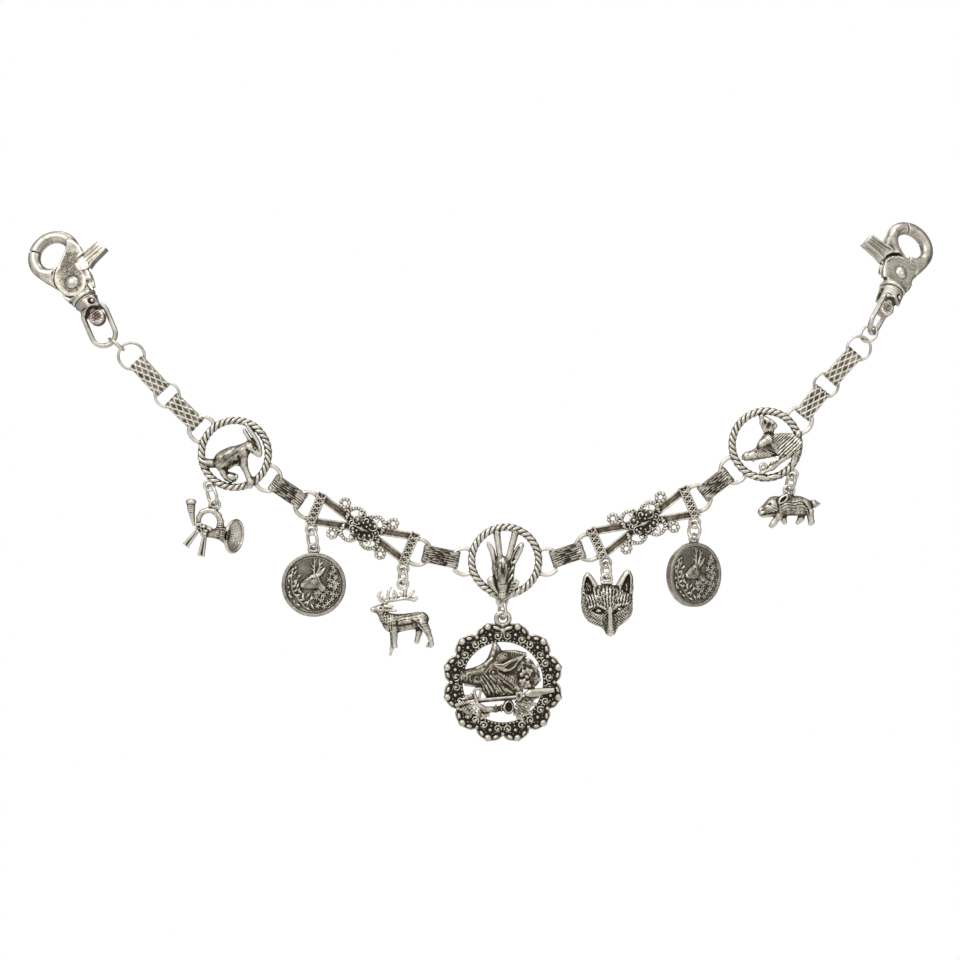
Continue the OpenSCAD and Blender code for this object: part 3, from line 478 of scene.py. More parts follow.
def antique(
    name, bias=0.0, near_gain=8.0, far_gain=1.2, light=LIGHT, bright=BRIGHT, middle=MIDDLE, gloss=0.27, painted_side_shade=0.3,
    matt=False, even=0.5
):
    """Cast silver: oxide stays in the recesses, and the raised places are rubbed bright. Sides that turn away from
    the front get painted shade; a negative gain paints a highlight there instead.
    """
    s = Shader(name)
    near = s.attribute("near")
    far = s.attribute("far")
    cloud = s.noise(420.0, 4.0)
    grain = s.noise(3000.0, 2.0)
    value = s.map(near, -0.09, 0.04, 0.5 + bias - 0.09 * near_gain, 0.5 + bias + 0.04 * near_gain)
    value = s.math("ADD", value, s.map(far, -0.2, 0.25, -0.3 * far_gain, 0.15 * far_gain))
    # painted shade: sides that turn away from the front are darkened, most at the silhouette
    side = s.attribute("painted_side_shade")
    value = s.math("SUBTRACT", value, s.map(side, 0.3, 1.0, 0.0, painted_side_shade))
    value = s.math("ADD", value, s.map(cloud, 0.3, 0.7, -0.16, 0.16))
    value = s.math("ADD", value, s.map(grain, 0.3, 0.7, -0.07, 0.06), True)
    if matt:
        dull = s.attribute("matt")
        value = s.math("ADD", value, s.math(
            "MULTIPLY", s.math("MULTIPLY", dull, 0.75), s.math("SUBTRACT", even, value)
        ))
        pits = s.map(s.noise(3000.0, 2.0), 0.38, 0.62, 0.26, -0.1)
        value = s.math("SUBTRACT", value, s.math("MULTIPLY", dull, pits), True)
    colour = s.ramp(value, [
        (0.0, OXIDE), (0.22, (0.105, 0.082, 0.056)), (0.45, middle), (0.68, light), (1.0, bright)
    ])
    metallic = s.map(value, 0.05, 0.45, 0.55, 1.0)
    roughness = s.ramp(value, [(0.0, 0.72), (0.35, 0.46), (0.7, gloss + 0.05), (1.0, gloss - 0.07)])
    if matt:
        roughness = s.math("ADD", roughness, s.math("MULTIPLY", dull, 0.2), True)
    scratch = s.noise(1500.0, 5.0)
    return s.finish(colour, metallic, roughness, scratch, 0.35, 0.00012)


def plated(name, colour=(0.88, 0.85, 0.78), low=(0.55, 0.52, 0.45), gloss=0.2, stipple=0.0):
    """Plated wire and clasps: bright, with dull patches and painted shade where parts come close."""
    s = Shader(name)
    # ambient occlusion: painted shade where parts come close to one another
    contact_shade = s.node("AmbientOcclusion", 1, _props={"samples": 6, "only_local": False}, Distance=0.0012)
    edge = s.node("NewGeometry", 7)
    cloud = s.noise(260.0, 5.0)
    grain = s.noise(2600.0, 3.0)
    value = s.map(contact_shade, 0.25, 0.85, -0.45, 0.0)
    value = s.math("ADD", value, s.map(edge, 0.46, 0.56, -0.16, 0.16))
    value = s.math("ADD", value, s.map(cloud, 0.35, 0.65, 0.58, 1.0))
    value = s.math("ADD", value, s.map(grain, 0.35, 0.65, -0.08 - stipple, 0.08), True)
    tint = s.ramp(value, [(0.0, (0.10, 0.085, 0.065)), (0.3, (0.30, 0.27, 0.22)), (0.6, low), (0.95, colour)])
    roughness = s.ramp(value, [(0.0, 0.6), (0.5, gloss + 0.14), (1.0, gloss)])
    return s.finish(tint, 1.0, roughness, s.noise(2200.0, 4.0), 0.25 + stipple, 0.0001)


# Roundels: a rope ring with a half loop at either side, a lug below and a cast animal inside
def rope_ring(sculpt):
    r = 11.15
    reach = r + 1.4

    def distance(x, y, z):
        q = np.sqrt(x * x + y * y) - r
        lay = 36 * np.arctan2(y, x) - 3 * np.arctan2(z, q)
        ridge = np.abs(np.sin(lay / 2)) ** 0.6
        return (np.sqrt(q * q + z * z) - (0.86 + 0.46 * ridge)) * 0.75
    sculpt.add(((-reach, -reach, -1.4), (reach, reach, 1.4), distance))


def roundel(k):
    s = Sculpt((-17.5, -17.5, -2.9), (17.5, 17.5, 3.6), 0.17)
    rope_ring(s)
    for angle in ROUNDEL_LOOPS[k]:
        s.add(hoop((*polar(LOOP_OUT, angle), 0), *LOOP, angle - 131, 262), 0.35)
    s.add(hoop((*polar(LUG_OUT, ROUNDEL_LUG[k]), 0), *LUG), 0.3)
    return s


def hare(s):
    # the whole figure, then its volumes
    s.add(cushion([
        (-10.6, -1.8), (-7, -1.9), (-6.4, -0.6), (-4.6, 1), (-2, 2.1), (1, 2.8), (3, 3.5), (4.4, 4.4), (6, 5.6),
        (7.9, 4.6), (8.7, 3), (9.1, 0.8), (9, -0.6), (8.3, -1.2), (7.4, -1), (6.4, 0), (5.2, 0.5), (4.5, -0.2),
        (4.2, -1.6), (4.4, -4.4), (5, -6.4), (5.8, -7.5), (6.5, -8.7), (6.1, -9.9), (5.3, -11.2), (3.9, -10.4),
        (4.1, -9), (3, -6.2), (1.6, -4.1), (0.2, -4), (-1, -4.6), (-2.8, -5.6), (-6, -4.6), (-7.5, -4.5),
        (-10.4, -4.2)
    ], 0.1, 1.4, 1.8), 0.4)
    s.limbs([(-4, -1.6, 0.9, 2.4, -1, -0.2, 1, 2.3), (2.2, 2.6, 1, 0.9, 2), (1.8, 4.4, 2.6, 0.9, 1.4),
             (-9.4, -3, 0.3, 1.3, -7.4, -3.1, 0.3, 1.2)], 1)
    s.bosses((-3.9, -2.6, 1.1, 3, 2.1, 1.9, 38, 0.5))
    s.grooves((-7.1, -1.6, 1.9, 0.25, -7, -3.8, 1.9, 0.25, 0.3))
    # the far side of the belly lies deeper, in shadow
    s.cut(cushion([
        (-3.4, -5.2), (-1.6, -3.9), (-0.2, -2.1), (1.3, -2.1), (1.6, -4.4), (-1, -5), (-1.9, -6.2)
    ], 2.3, 1.6, 0.7), 0.3)
    # head: pale cheek, dark hollow round the eye, blunt muzzle
    s.bosses((5, 2.1, 1.4, 1.45, 1.45, 1.3, 0.3))
    s.limbs([(6.2, 1.4, 1, 1.3, 8, -0.1, 0.9, 1.05), (7.6, 3.2, 0.9, 0.8, 8.5, 0.4, 0.9, 0.7)])
    s.pits((6.9, 1.8, 2.5, 0.62, 1.25, 0.75, 22, 0.2))
    s.bosses((6.8, 1.9, 1.9, 0.3, 0.1))
    s.grooves((7.4, -0.7, 1.9, 0.12, 8.8, -0.5, 1.7, 0.1, 0.15), (4, 1.3, 2.5, 0.2, 5.9, 0.4, 2.1, 0.3, 0.4))
    # near ear, drawn out in a band that joins the rope, and the thin far ear
    s.add(cushion([(9.1, 0.8), (9, 2.4), (8.2, 4.5), (6.9, 6.7), (5.4, 8.9), (4, 10.4), (3.1, 10.1), (4.2, 8),
                   (5.5, 6), (6.6, 4.2), (7.5, 2.4), (7.9, 0.8)], 0.8, 1, 0.7), 0.25)
    s.add(cushion([
        (2.7, 8.4), (2.7, 7.2), (3.5, 5.8), (4.3, 4.4), (5.4, 3.4), (6.3, 4), (5.3, 5.6), (4.3, 7.2), (3.4, 8.5)
    ], 0.4, 0.9, 0.6), 0.2)
    s.grooves((6.9, 3.3, 2.2, 0.28, 4.2, 7.4, 1.6, 0.24, 0.2), (8.2, 2.6, 2.1, 0.14, 5, 8.4, 1.9, 0.14, 0.15),
              (7.6, 3.8, 2, 0.1, 5.6, 7, 1.9, 0.1, 0.1), (5, 4.9, 1.6, 0.14, 3.3, 7.8, 1.3, 0.14, 0.15))
    # foreleg, broad at the chest, and its paw
    s.limbs([(2.9, -0.4, 0.9, 1.6, 3, -3.6, 0.9, 1.15), (1.1, 4.4, -7.2, 0.8, 0.85), (5.2, -9.2, 0.8, 1.05),
             (5, -10.8, 0.8, 0.85)], 0.5)
    s.grooves((4.7, -10, 2, 0.1, 4.8, -11.4, 1.8, 0.1, 0.15), (1.3, -0.8, 2.6, 0.2, 1.7, -3.8, 2, 0.25, 0.5))
    # hind leg: a pale strand below, a dull one above it, and the rounded foot
    s.add(cushion([(-6.3, -3.6), (-5.8, -4.8), (-4.6, -7.2), (-3.4, -8.8), (-1.3, -9.7), (0.2, -9.3), (1.1, -7.9),
                   (0.6, -6.6), (-0.9, -6.1), (-2.2, -5.9), (-2.6, -4.6)], 0.1, 1.2, 1.1), 0.4)
    s.limbs([(-5, -4.2, 0.9, 1.2, -3.2, -7.4, 0.9, 0.75), (-1.4, -8.9, 0.8, 0.6)], 0.3)
    s.bosses((-1.2, -7.6, 0.9, 1.7, 1.15, 1.1, -15, 0.25), (0.5, -7.6, 0.6, 0.7, 0.9, 0.9, 0.2))
    s.grooves((-3.7, -5.4, 2, 0.2, -2.2, -8.2, 1.9, 0.16, 0.25), (0.1, -6.8, 1.9, 0.16, 0.1, -8.4, 1.8, 0.14, 0.2))
    # soft broad strokes, slanting down over the haunch
    s.strokes((-7, -6, 0), (8, 5, 3.6), 0.032, (1, 0.9), (-0.8, 1), 1.7, 4.2, 1)
    s.strokes((-6, -10.5, 0), (6, -1, 3.6), 0.015, (-0.4, 1), (1, 0.4), 1.2, 3, 2)


def roebuck(s):
    # beams of the antlers, broader towards the rope
    for x0, x1 in ((-1.7, -2.8), (1.1, 3.4)):
        s.limbs([(x0, 0.8, 0.8, 0.95, x1, 9.4, 0.2, 1.2)], 0.3)
        s.grooves((x0 + 0.75, 2, 1.7, 0.14, x1 + 0.9, 9, 1.2, 0.16, 0.3))
        s.carve((min(x0, x1) - 2, 1.5, 0), (max(x0, x1) + 2, 10, 3.6),
                lambda x, y, z, x0=x0, t=(x1 - x0) / 8.6: 0.05 * hair(y, x - x0 - t * y, 0.8, 3.4, 3))
    # ears: the left one a pale blade with a dark inner side, the right one broad and hollow
    s.add(cushion([(-6.2, 6.4), (-6.1, 5), (-5.1, 2.5), (-4.5, 0), (-3.8, -1.4), (-2.6, -1.2), (-2.9, 1.2),
                   (-3.4, 3.4), (-4.2, 5), (-5.3, 6)], 0.2, 1.1, 0.9), 0.25)
    s.grooves((-4.9, 4.9, 1.4, 0.3, -3.5, -0.4, 1.9, 0.45, 0.2))
    s.add(cushion([(5.2, 6.2), (6.2, 5.9), (6.3, 4.8), (5.6, 2.8), (4.6, 0.8), (3.7, -0.9), (1.6, -2.2), (0.9, -0.8),
                   (2, 1.4), (3, 3.4), (4.1, 5.2)], 0.4, 1.2, 0.9), 0.25)
    s.cut(cushion([
        (4.9, 5.2), (4.9, 3.8), (4, 1.8), (3.3, 0.2), (2.2, -0.6), (2, 0.4), (2.9, 2.6), (3.9, 4.6)
    ], 1.9, 1, 0.5), 0.15)
    s.add(limb((3.2, 1, 1.2), 0.2, (4.5, 4, 1.2), 0.16), 0.1)
    # head: a wedge from the brow to the nose, peaked along its bright bridge
    s.add(cushion([
        (-4.4, 0), (-3, 1), (-1.4, 1.4), (-0.5, 0.8), (0.4, 1.3), (2, 0.6), (3.4, -1.2), (3.1, -3.6), (2.9, -5.6),
        (2, -8.4), (0.6, -11.6), (-0.8, -12.9), (-2, -12), (-2.9, -9.6), (-3.5, -7.4), (-4.1, -5.2), (-4.5, -3)
    ], 0.2, 1.9, 2.6), 0.4)
    s.limbs([(-1, -0.6, 1.1, 2.1, -0.9, -3.6, 1.2, 2.1), (2, -0.9, -8, 1.2, 1.6), (1.5, -1, -11.6, 1, 1.1)], 1)
    s.add(cushion([(-0.7, 1.2), (-1.5, -0.6), (-2.1, -3), (-1.8, -5.6), (-1.2, -8.2), (-0.4, -8.2), (0.2, -5.6),
                   (0.7, -3), (0.3, -0.6)], 2.4, 1.1, 1.1), 0.5)
    for x0, x1 in ((-1.7, -1.1), (-0.7, -0.7), (0.3, -0.4)):
        s.add(limb((x0, -1.4, 3), 0.36, (x1, -7.6, 2.75), 0.34), 0.3)
    # strokes of the cheeks, running down to the nose: dark ones cut, pale ones raised
    for a, b, r in (
        ((-3.6, -0.2), (-2.4, -4.4), 0.2), ((-3.6, -4.4), (-2.6, -8.2), 0.18), ((1.9, -0.8), (1.3, -2.6), 0.32),
        ((2.7, -3.8), (1.2, -5.8), 0.2), ((2.4, -6.6), (0.9, -8.8), 0.2)
    ):
        s.grooves((*a, 2.3, r, *b, 2.6, r * 0.7, 0.4))
    for a, b, r in (
        ((2.7, -2.2), (1.2, -4.2), 0.36), ((2.5, -4.8), (1, -7), 0.3), ((-3.6, -1.8), (-2.9, -5.6), 0.26)
    ):
        s.add(limb((*a, 1.3), r, (*b, 1.8), r * 0.8), 0.4)
    for side in (-1, 1):
        s.pits((-0.8 + side * 2, -2.4, 2.5, 0.55, 0.4, 0.15))
        s.bosses((-0.8 + side * 2, -2.5, 2.2, 0.36, 0.3, 0.1))
        s.pits((-1 + side * 0.5, -10.6, 2.1, 0.28, 0.2, 0.12))
    s.grooves((-1.9, -7.9, 2.9, 0.16, -0.1, -7.7, 2.9, 0.16, 0.2),
              (-1.9, -11.8, 1.9, 0.12, 0, -11.8, 1.9, 0.12, 0.15))
    s.carve((-4.8, -12, 0), (4.4, 1.5, 3.6), lambda x, y, z: 0.045 * hair(
        y + 0.3 * np.abs(x + 0.8), (x + 0.8) * (1 + 0.05 * (y + 6)), 0.8, 2.4, 4
    ) * np.clip(np.abs(x + 0.8) - 0.5, 0, 1))
    # a pale rolled leaf at the left, a dark veined one at the right and small ones under the muzzle
    s.add(cushion([(-4, -5.2), (-5.4, -5.2), (-6.1, -6.4), (-5.9, -7.8), (-4.8, -9.4), (-2.4, -11.6), (-1.9, -10.4),
                   (-2.9, -8.4), (-3.4, -6.4)], 0.8, 1.2, 1.1), 0.2)
    s.grooves((-4.3, -6.2, 2.3, 0.14, -2.7, -10.4, 1.9, 0.12, 0.15), (-5.4, -6.8, 2, 0.1, -3.7, -9.9, 1.9, 0.1, 0.1))
    s.add(cushion([(0.9, -6.8), (2.2, -5.9), (3.6, -6), (4.8, -7), (4.5, -8.4), (3.2, -10.2), (1.6, -11.6),
                   (0.2, -12.8), (-0.1, -10.6), (0.4, -8.6)], 0.5, 0.9, 1.2), 0.15)
    for i in range(5):
        s.grooves((4 - 0.6 * i, -6.6 - 1.05 * i, 1.5, 0.34, 1.4 - 0.3 * i, -7.2 - 1.05 * i, 1.7, 0.2, 0.15))
    s.limbs([(-0.4, -12.7, 0.2, 0.8, 5.6, -9.8, 0.3, 0.8), (-0.6, -12.7, 0.2, 0.9, -4.6, -11.2, 0.2, 0.8)])
    s.strokes((-6.6, -13, 0), (6.4, -6, 3.6), 0.05, (0.4, 1), (1, -0.3), 0.7, 1.6, 5,
              lambda x, y: np.abs(x + 0.8) > 1.6)


def grouse(s):
    # head with its beak and beard, neck and breast
    s.add(cushion([
        (-8.1, -4.4), (-7.6, -3.1), (-6.6, -2.4), (-5, -2.1), (-3.4, -1.1), (-2.7, 0.2), (-1.8, 2), (-0.7, 3.5),
        (0.6, 4.2), (2.6, 3.8), (5, 2), (6, -1), (5.4, -3.8), (3, -3.9), (-0.6, -4.7), (-3.6, -5.3), (-4.1, -6),
        (-4.7, -5.3), (-6.6, -5.5), (-7.8, -5)
    ], 0.4, 1.5, 1.7), 0.4)
    s.limbs([(-6.4, -3.8, 1, 1.2, -4.2, -3.5, 1.1, 1.25), (1.1, 1, -3.3, 0.9, 1),
             (-1.4, 0.2, 1.1, 1.4, 0.9, 1.6, 1.1, 1.8)], 0.5)
    s.grooves((-2, -1.9, 2.6, 0.4, 0.6, -1.6, 2.6, 0.55, 0.3), (3.2, -3.2, 2, 0.5, 0.3))
    s.pits((-6.2, -3.4, 2.3, 0.4, 0.2))
    s.bosses((-6.2, -3.4, 2, 0.22, 0.1))
    s.grooves((-8.2, -4.4, 1.3, 0.14, -6.6, -4.5, 1.9, 0.14, 0.15))
    # tail: a narrow root and a fan that bends over at its end
    s.add(cushion([(-0.8, 3.6), (-0.8, 4.4), (-1.7, 6.3), (-2, 8), (-2.3, 9.8), (-1.4, 10.6), (-0.4, 9.8), (1, 9),
                   (2.6, 8.1), (3.7, 6.9), (4.1, 6), (3, 4.9), (2.7, 3.6)], 0.3, 1.1, 1), 0.3)
    s.limbs([(0.4, 8.2, 0.9, 0.9, 2.4, 7.3, 0.9, 0.7), (-1.5, 9.6, 0.7, 0.6, -1.6, 7, 0.7, 0.5)], 0.3)
    s.grooves((-1.2, 6.6, 1.7, 0.25, 2.4, 5.4, 1.8, 0.2, 0.3), (-0.9, 8.8, 1.6, 0.3, -0.2, 6.9, 1.7, 0.3, 0.3))
    s.carve((-3, 3.4, 0), (5, 10.5, 3.6),
            lambda x, y, z: 0.15 * np.abs(np.sin(13 * np.arctan2(x - 3.4, y - 13))) - 0.05)
    # wing: a pale breast, barbs above and long quills below, parted by a step
    s.add(cushion([(1.9, 2.4), (2.8, 3.7), (5.6, 4), (8.4, 3.9), (10.2, 3.2), (12.3, 1), (11.2, -1.6), (9.2, -2.6),
                   (6.8, -4), (4.6, -4.5), (3.6, -3.2), (2, -1.4), (0.6, 0.4)], 1.3, 0.9, 0.8), 0.3)

    def barbs(x, y, z):
        upper = np.clip((x + y - 4.4) / 0.4, 0, 1) * np.clip((y - 0.62 * x + 2.2) / 0.5, 0, 1)
        lower = np.clip((0.62 * x - 2.2 - y) / 0.5, 0, 1) * np.clip((x - 3.4) / 0.8, 0, 1)
        ribs = np.abs(np.sin(math.pi * (y * 0.62 - x * 0.58) / 0.56))
        quills = np.abs(np.sin(math.pi * (y * 0.70 - x * 0.66) / 0.86))
        return upper * (0.42 * (1 - ribs) ** 0.7 - 0.06) + lower * (0.34 * (1 - quills) ** 0.8 - 0.05)
    s.carve((0.8, -4.8, 1), (12.6, 4.4, 3.6), barbs)
    s.grooves((2, 2, 2.4, 0.16, 4.4, 0, 2.4, 0.18, 0.15), (0.16, 9.6, 3, 2.4, 0.14, 0.15))
    # branch in several strands with a curled end, and claws
    s.add(cushion([
        (2.6, -4.3), (4.6, -4.2), (7.6, -2.4), (9.8, -1.2), (10.6, -2.6), (7.8, -4.6), (5.2, -6.2), (2.6, -8.6),
        (0.4, -9.2), (-1, -10.2), (-2.6, -9.9), (-1.8, -8.6), (0.4, -7.8), (1.4, -6.2)
    ], 0.6, 1.2, 0.9), 0.3)
    for a, b in (((-1.4, -9.4), (8.4, -2.2)), ((1.4, -8.4), (9.4, -2.6)), ((1.6, -6.4), (6.2, -3.4))):
        s.grooves((*a, 1.9, 0.16, *b, 2, 0.16, 0.15))
    s.add(hoop((-0.8, -7.5, 0.6), 1, 1.1, -60, 280), 0.2)
    s.pits((-0.7, -7.5, 1.3, 0.5, 0.15))
    for x, y in ((2.4, -5.4), (3.3, -5), (4.2, -4.5)):
        s.limbs([(x + 0.3, y + 1, 1.2, 0.42, x - 0.5, y - 0.7, 1.7, 0.36)], 0.12)
    for at, turn, length, width in (
        ((-3.4, -10.4), -14, 5, 1.7), ((0.6, -10.9), 6, 4.8, 1.7), ((9.4, -6.6), 84, 4.2, 2.2),
        ((9.8, -4), 72, 4, 2.2), ((8.6, -4.4), 40, 3.8, 1.9), ((11, -0.6), 92, 3.4, 2.2), ((10.2, 1.6), 74, 3.6, 2),
        ((8.4, -7.4), 60, 3.6, 1.9)
    ):
        leaf(s, at, turn, length, width, 0.8, 0.9)
    s.strokes((-8, -6, 0), (2.6, 4, 3.6), 0.08, (1, 0.7), (-0.6, 1), 0.8, 1.9, 6)
    s.strokes((-4, -12, 0), (12.4, 4, 3.6), 0.06, (1, 0.5), (-0.6, 1), 0.7, 1.8, 7, lambda x, y: x - y > 9)


# Bows: end bars with a chain pattern, plain crossing bars, a lace of beaded curls and a rosette
def bow(k):
    s = Sculpt((-25.6, -9.6, -1.5), (25.6, 8.2, 4), 0.17)
    half = BOW_L / 2
    for side in (-1, 1):
        x = side * half
        s.add(bar((x, -5.7), (x, 5.7), 3.2, -0.9, 0.22, 0.3))
        for edge in (-1.35, 1.35):
            s.add(bar((x + edge, -5.7), (x + edge, 5.7), 0.5, 0, 0.9, 0.3), 0.1)
        for i in range(6):
            y = -5 + i * 1.72
            for lean in (-1, 1):
                s.add(limb((x - 0.95, y + 0.1 - lean * 0.55, 0.55), 0.26, (x + 0.95, y + 0.1 + lean * 0.55, 0.55),
                           0.26), 0.08)
            s.bosses((x, y + 0.96, 0.4, 0.3, 0.06))
        a, b = (-half + 0.6, side * 4.2), (half - 0.6, -side * 4.2)
        s.add(bar(a, b, 2.7, -0.72, 0.58, 0.25))
        n = math.atan2(b[1] - a[1], b[0] - a[0])
        for edge in (-1.1, 1.1):
            o = (-math.sin(n) * edge, math.cos(n) * edge)
            s.add(bar((a[0] + o[0], a[1] + o[1]), (b[0] + o[0], b[1] + o[1]), 0.34, 0, 0.72, 0.15), 0.1)
        s.add(hoop((side * BOW_LOOP_X, 0, 0), *LOOP, (0 if side > 0 else 180) - 120, 240), 0.3)
    for x in BOW_LUG_X[k]:
        s.add(hoop((x, -7, 0), *LUG), 0.25)
    # beaded lace: a small ring at each corner, and a scallop above and below each half
    for sx in (-1, 1):
        for sy in (-1, 1):
            s.add(hoop((sx * 8.7, sy * 5.5, 0.5), 1.35, 1.2, beads=7, bead=0.52), 0.04)
            s.add(hoop((sx * 3.5, sy * 2.6, 0.5), 3, 1.2, -25 if sy > 0 else -205, 230, beads=21, bead=0.5), 0.04)
            s.limbs([(sx * 6.2, sy * 3, 0.4, 0.55, sx * 7.6, sy * 4.5, 0.5, 0.5),
                     (sx * 5.4, sy * 4.6, 0.4, 0.5, sx * 7.4, sy * 5, 0.5, 0.5)], 0.2)
            for x, y, r in ((6.3, 4.9, 0.55), (6.9, 3.7, 0.5), (6, 2.2, 0.45), (7.4, 5.6, 0.4)):
                s.bosses((sx * x, sy * y, 0.8, r, 0.06))
    # rosette: open scrolls that end in balls, over a dark dome
    s.bosses((0.2, 0, 0.2, 4.9, 4.4, 1.3, 0.1))
    for x, y, r, start, sweep, z in (
        (-2.7, 1.9, 1.4, 60, 250, 1.5), (2.9, 2, 1.45, -130, 250, 1.5), (-2.7, -1.5, 1.4, 50, 250, 1.5),
        (3, -1.6, 1.5, 180, 250, 1.5), (-1.9, 4.5, 1.25, -30, 250, 0.9), (2.7, 4.6, 1.25, -40, 250, 0.9),
        (-1.8, -3.8, 1.3, 150, 250, 0.9), (2.9, -3.7, 1.4, 140, 250, 0.9), (-4, 0.3, 0.9, 90, 200, 1.2),
        (4.7, 0.2, 0.9, -110, 200, 1.2), (0.3, 2.8, 0.8, 0, 200, 1.4), (0.4, -2.7, 0.8, 180, 200, 1.4)
    ):
        s.add(hoop((x, y, z), r, 0.46, start, sweep), 0.05)
    for x, y, r, z in (
        (-2.6, 2.2, 0.55, 2), (-1.7, 1.1, 0.42, 2), (-0.5, 1.9, 0.36, 1.9), (0.8, 2.7, 0.5, 1.9), (1.9, 2.1, 0.45, 2),
        (3.5, 2.3, 0.55, 1.9), (1, 1.1, 0.42, 2.1), (-3, -1.2, 0.5, 1.9), (-1.6, -1.3, 0.42, 2),
        (-2.5, -2.2, 0.5, 1.8), (1.5, -1.8, 0.45, 2), (3, -1.3, 0.52, 1.9), (3.9, -2.3, 0.42, 1.7),
        (-3.9, 0.2, 0.42, 1.6), (4.5, 0.3, 0.45, 1.5), (-1.9, 4.7, 0.52, 1.3), (2.9, 4.9, 0.52, 1.3),
        (0.4, 4.7, 0.38, 1.1), (-1.9, -4, 0.42, 1.3), (0.3, -3.4, 0.38, 1.5), (3.1, -3.9, 0.42, 1.3),
        (1.8, -3.3, 0.38, 1.4), (-0.3, -2.2, 0.36, 1.8), (-4.9, 1.6, 0.38, 1.1), (5.3, -1.3, 0.38, 1.1)
    ):
        s.bosses((x, y, z, r, r, r * 0.9, 0.04))

    def lozenge(x, y, z):
        return (np.abs(x + 0.3) / 2.9 + np.abs(y + 0.2) / 1.3 + np.clip(z - 1.3, 0, None) / 1.7 - 1) * 1.1
    s.add(((-3.1, -1.7, 0.2), (3.1, 1.7, 3.2), lambda x, y, z: np.maximum(lozenge(x, y, z), 0.4 - z)))
    s.strokes((-half - 2, -6, 0), (half + 2, 6, 1), 0.035, (1, 1), (1, -1), 0.5, 2.6, 8)
    return s


# Pendant: a lobed and beaded frame, with a boar's head, oak leaves, a knife and a horn in its opening
def lobe_r(degrees):
    return 20.0 - 2.2 * (1 - math.sqrt(abs(math.sin(math.radians(6 * degrees)))))


def spiral(s, c, turn, hand, z, size=1):
    """A flat curl of tapering wire, closing on its middle."""
    last = None
    for i in range(15):
        t = i / 14
        r = size * (1.25 - 0.95 * t)
        p = np.add(c, polar(r, turn + hand * 420 * t))
        w = 0.27 * size * (1 - 0.2 * t)
        if last is not None:
            s.add(limb((*last[0], z), last[1], (*p, z), w), 0.03)
        last = (p, w)
    s.bosses((*c, z, 0.3 * size, 0.03))


def pendant_frame(s):
    edge = [polar(lobe_r(a), a) for a in range(0, 360, 3)]

    def floor(x, y, z):
        rim = np.maximum(outline(x, y, edge), 13.5 - np.sqrt(x * x + y * y))
        return -smooth_min(-rim, 0.75 - np.abs(z + 0.35), 0.25)
    s.add(((-20.4, -20.4, -1.1), (20.4, 20.4, 0.4), floor))
    for n in range(12):
        axis = 15 + 30 * n
        s.bosses((*polar(19.1, axis), 0.7, 1.25, 1.25, 1.2, 0.08), (*polar(16.4, axis), 0.9, 0.66, 0.66, 0.7, 0.05),
                 (*polar(17.2, axis + 15), 0.7, 0.7, 0.7, 0.7, 0.05))
        for hand in (-1, 1):
            s.bosses((*polar(18.35, axis + hand * 7.4), 0.55, 0.62, 1.1, 0.7, axis + hand * 38, 0.06),
                     (*polar(17.6, axis + hand * 3.6), 0.4, 0.34, 0.34, 0.5, 0.05))
            c = polar(15.55, axis + hand * 8.6)
            spiral(s, c, axis - 90 * hand + 180, hand, 0.9, 1.05)
            far = polar(17, axis + hand * 5.6)
            s.add(limb((*np.add(c, polar(1.2, axis + hand * 60)), 0.6), 0.22, (*far, 0.6), 0.18), 0.04)
        s.bosses((*polar(15, axis), 0.5, 0.36, 0.36, 0.4, 0.03),
                 (*polar(14.9, axis + 15), 0.5, 0.34, 0.34, 0.4, 0.03))
    s.add(hoop((0, 0, 0.1), 14.45, 0.5), 0.05)
    for n in range(72):
        s.bosses((*polar(13.9, 5 * n), 0.5, 0.43, 0.43, 0.5, 0.02))
    s.add(hoop((0, 0, -0.2), 13.6, 0.5), 0.1)


def oak_leaf(s, at, turn, length, width, z, rise=0.6):
    leaf(s, at, turn, length, width, z, rise, 3)
    for i in range(1, 4):
        p = np.add(at, turned((length * i / 4.6, 0), turn))
        for side in (-1, 1):
            q = np.add(p, turned((length * 0.14, side * width * 0.34), turn))
            s.grooves((*p, z + rise, 0.08, *q, z + rise * 0.8, 0.06, 0.05))


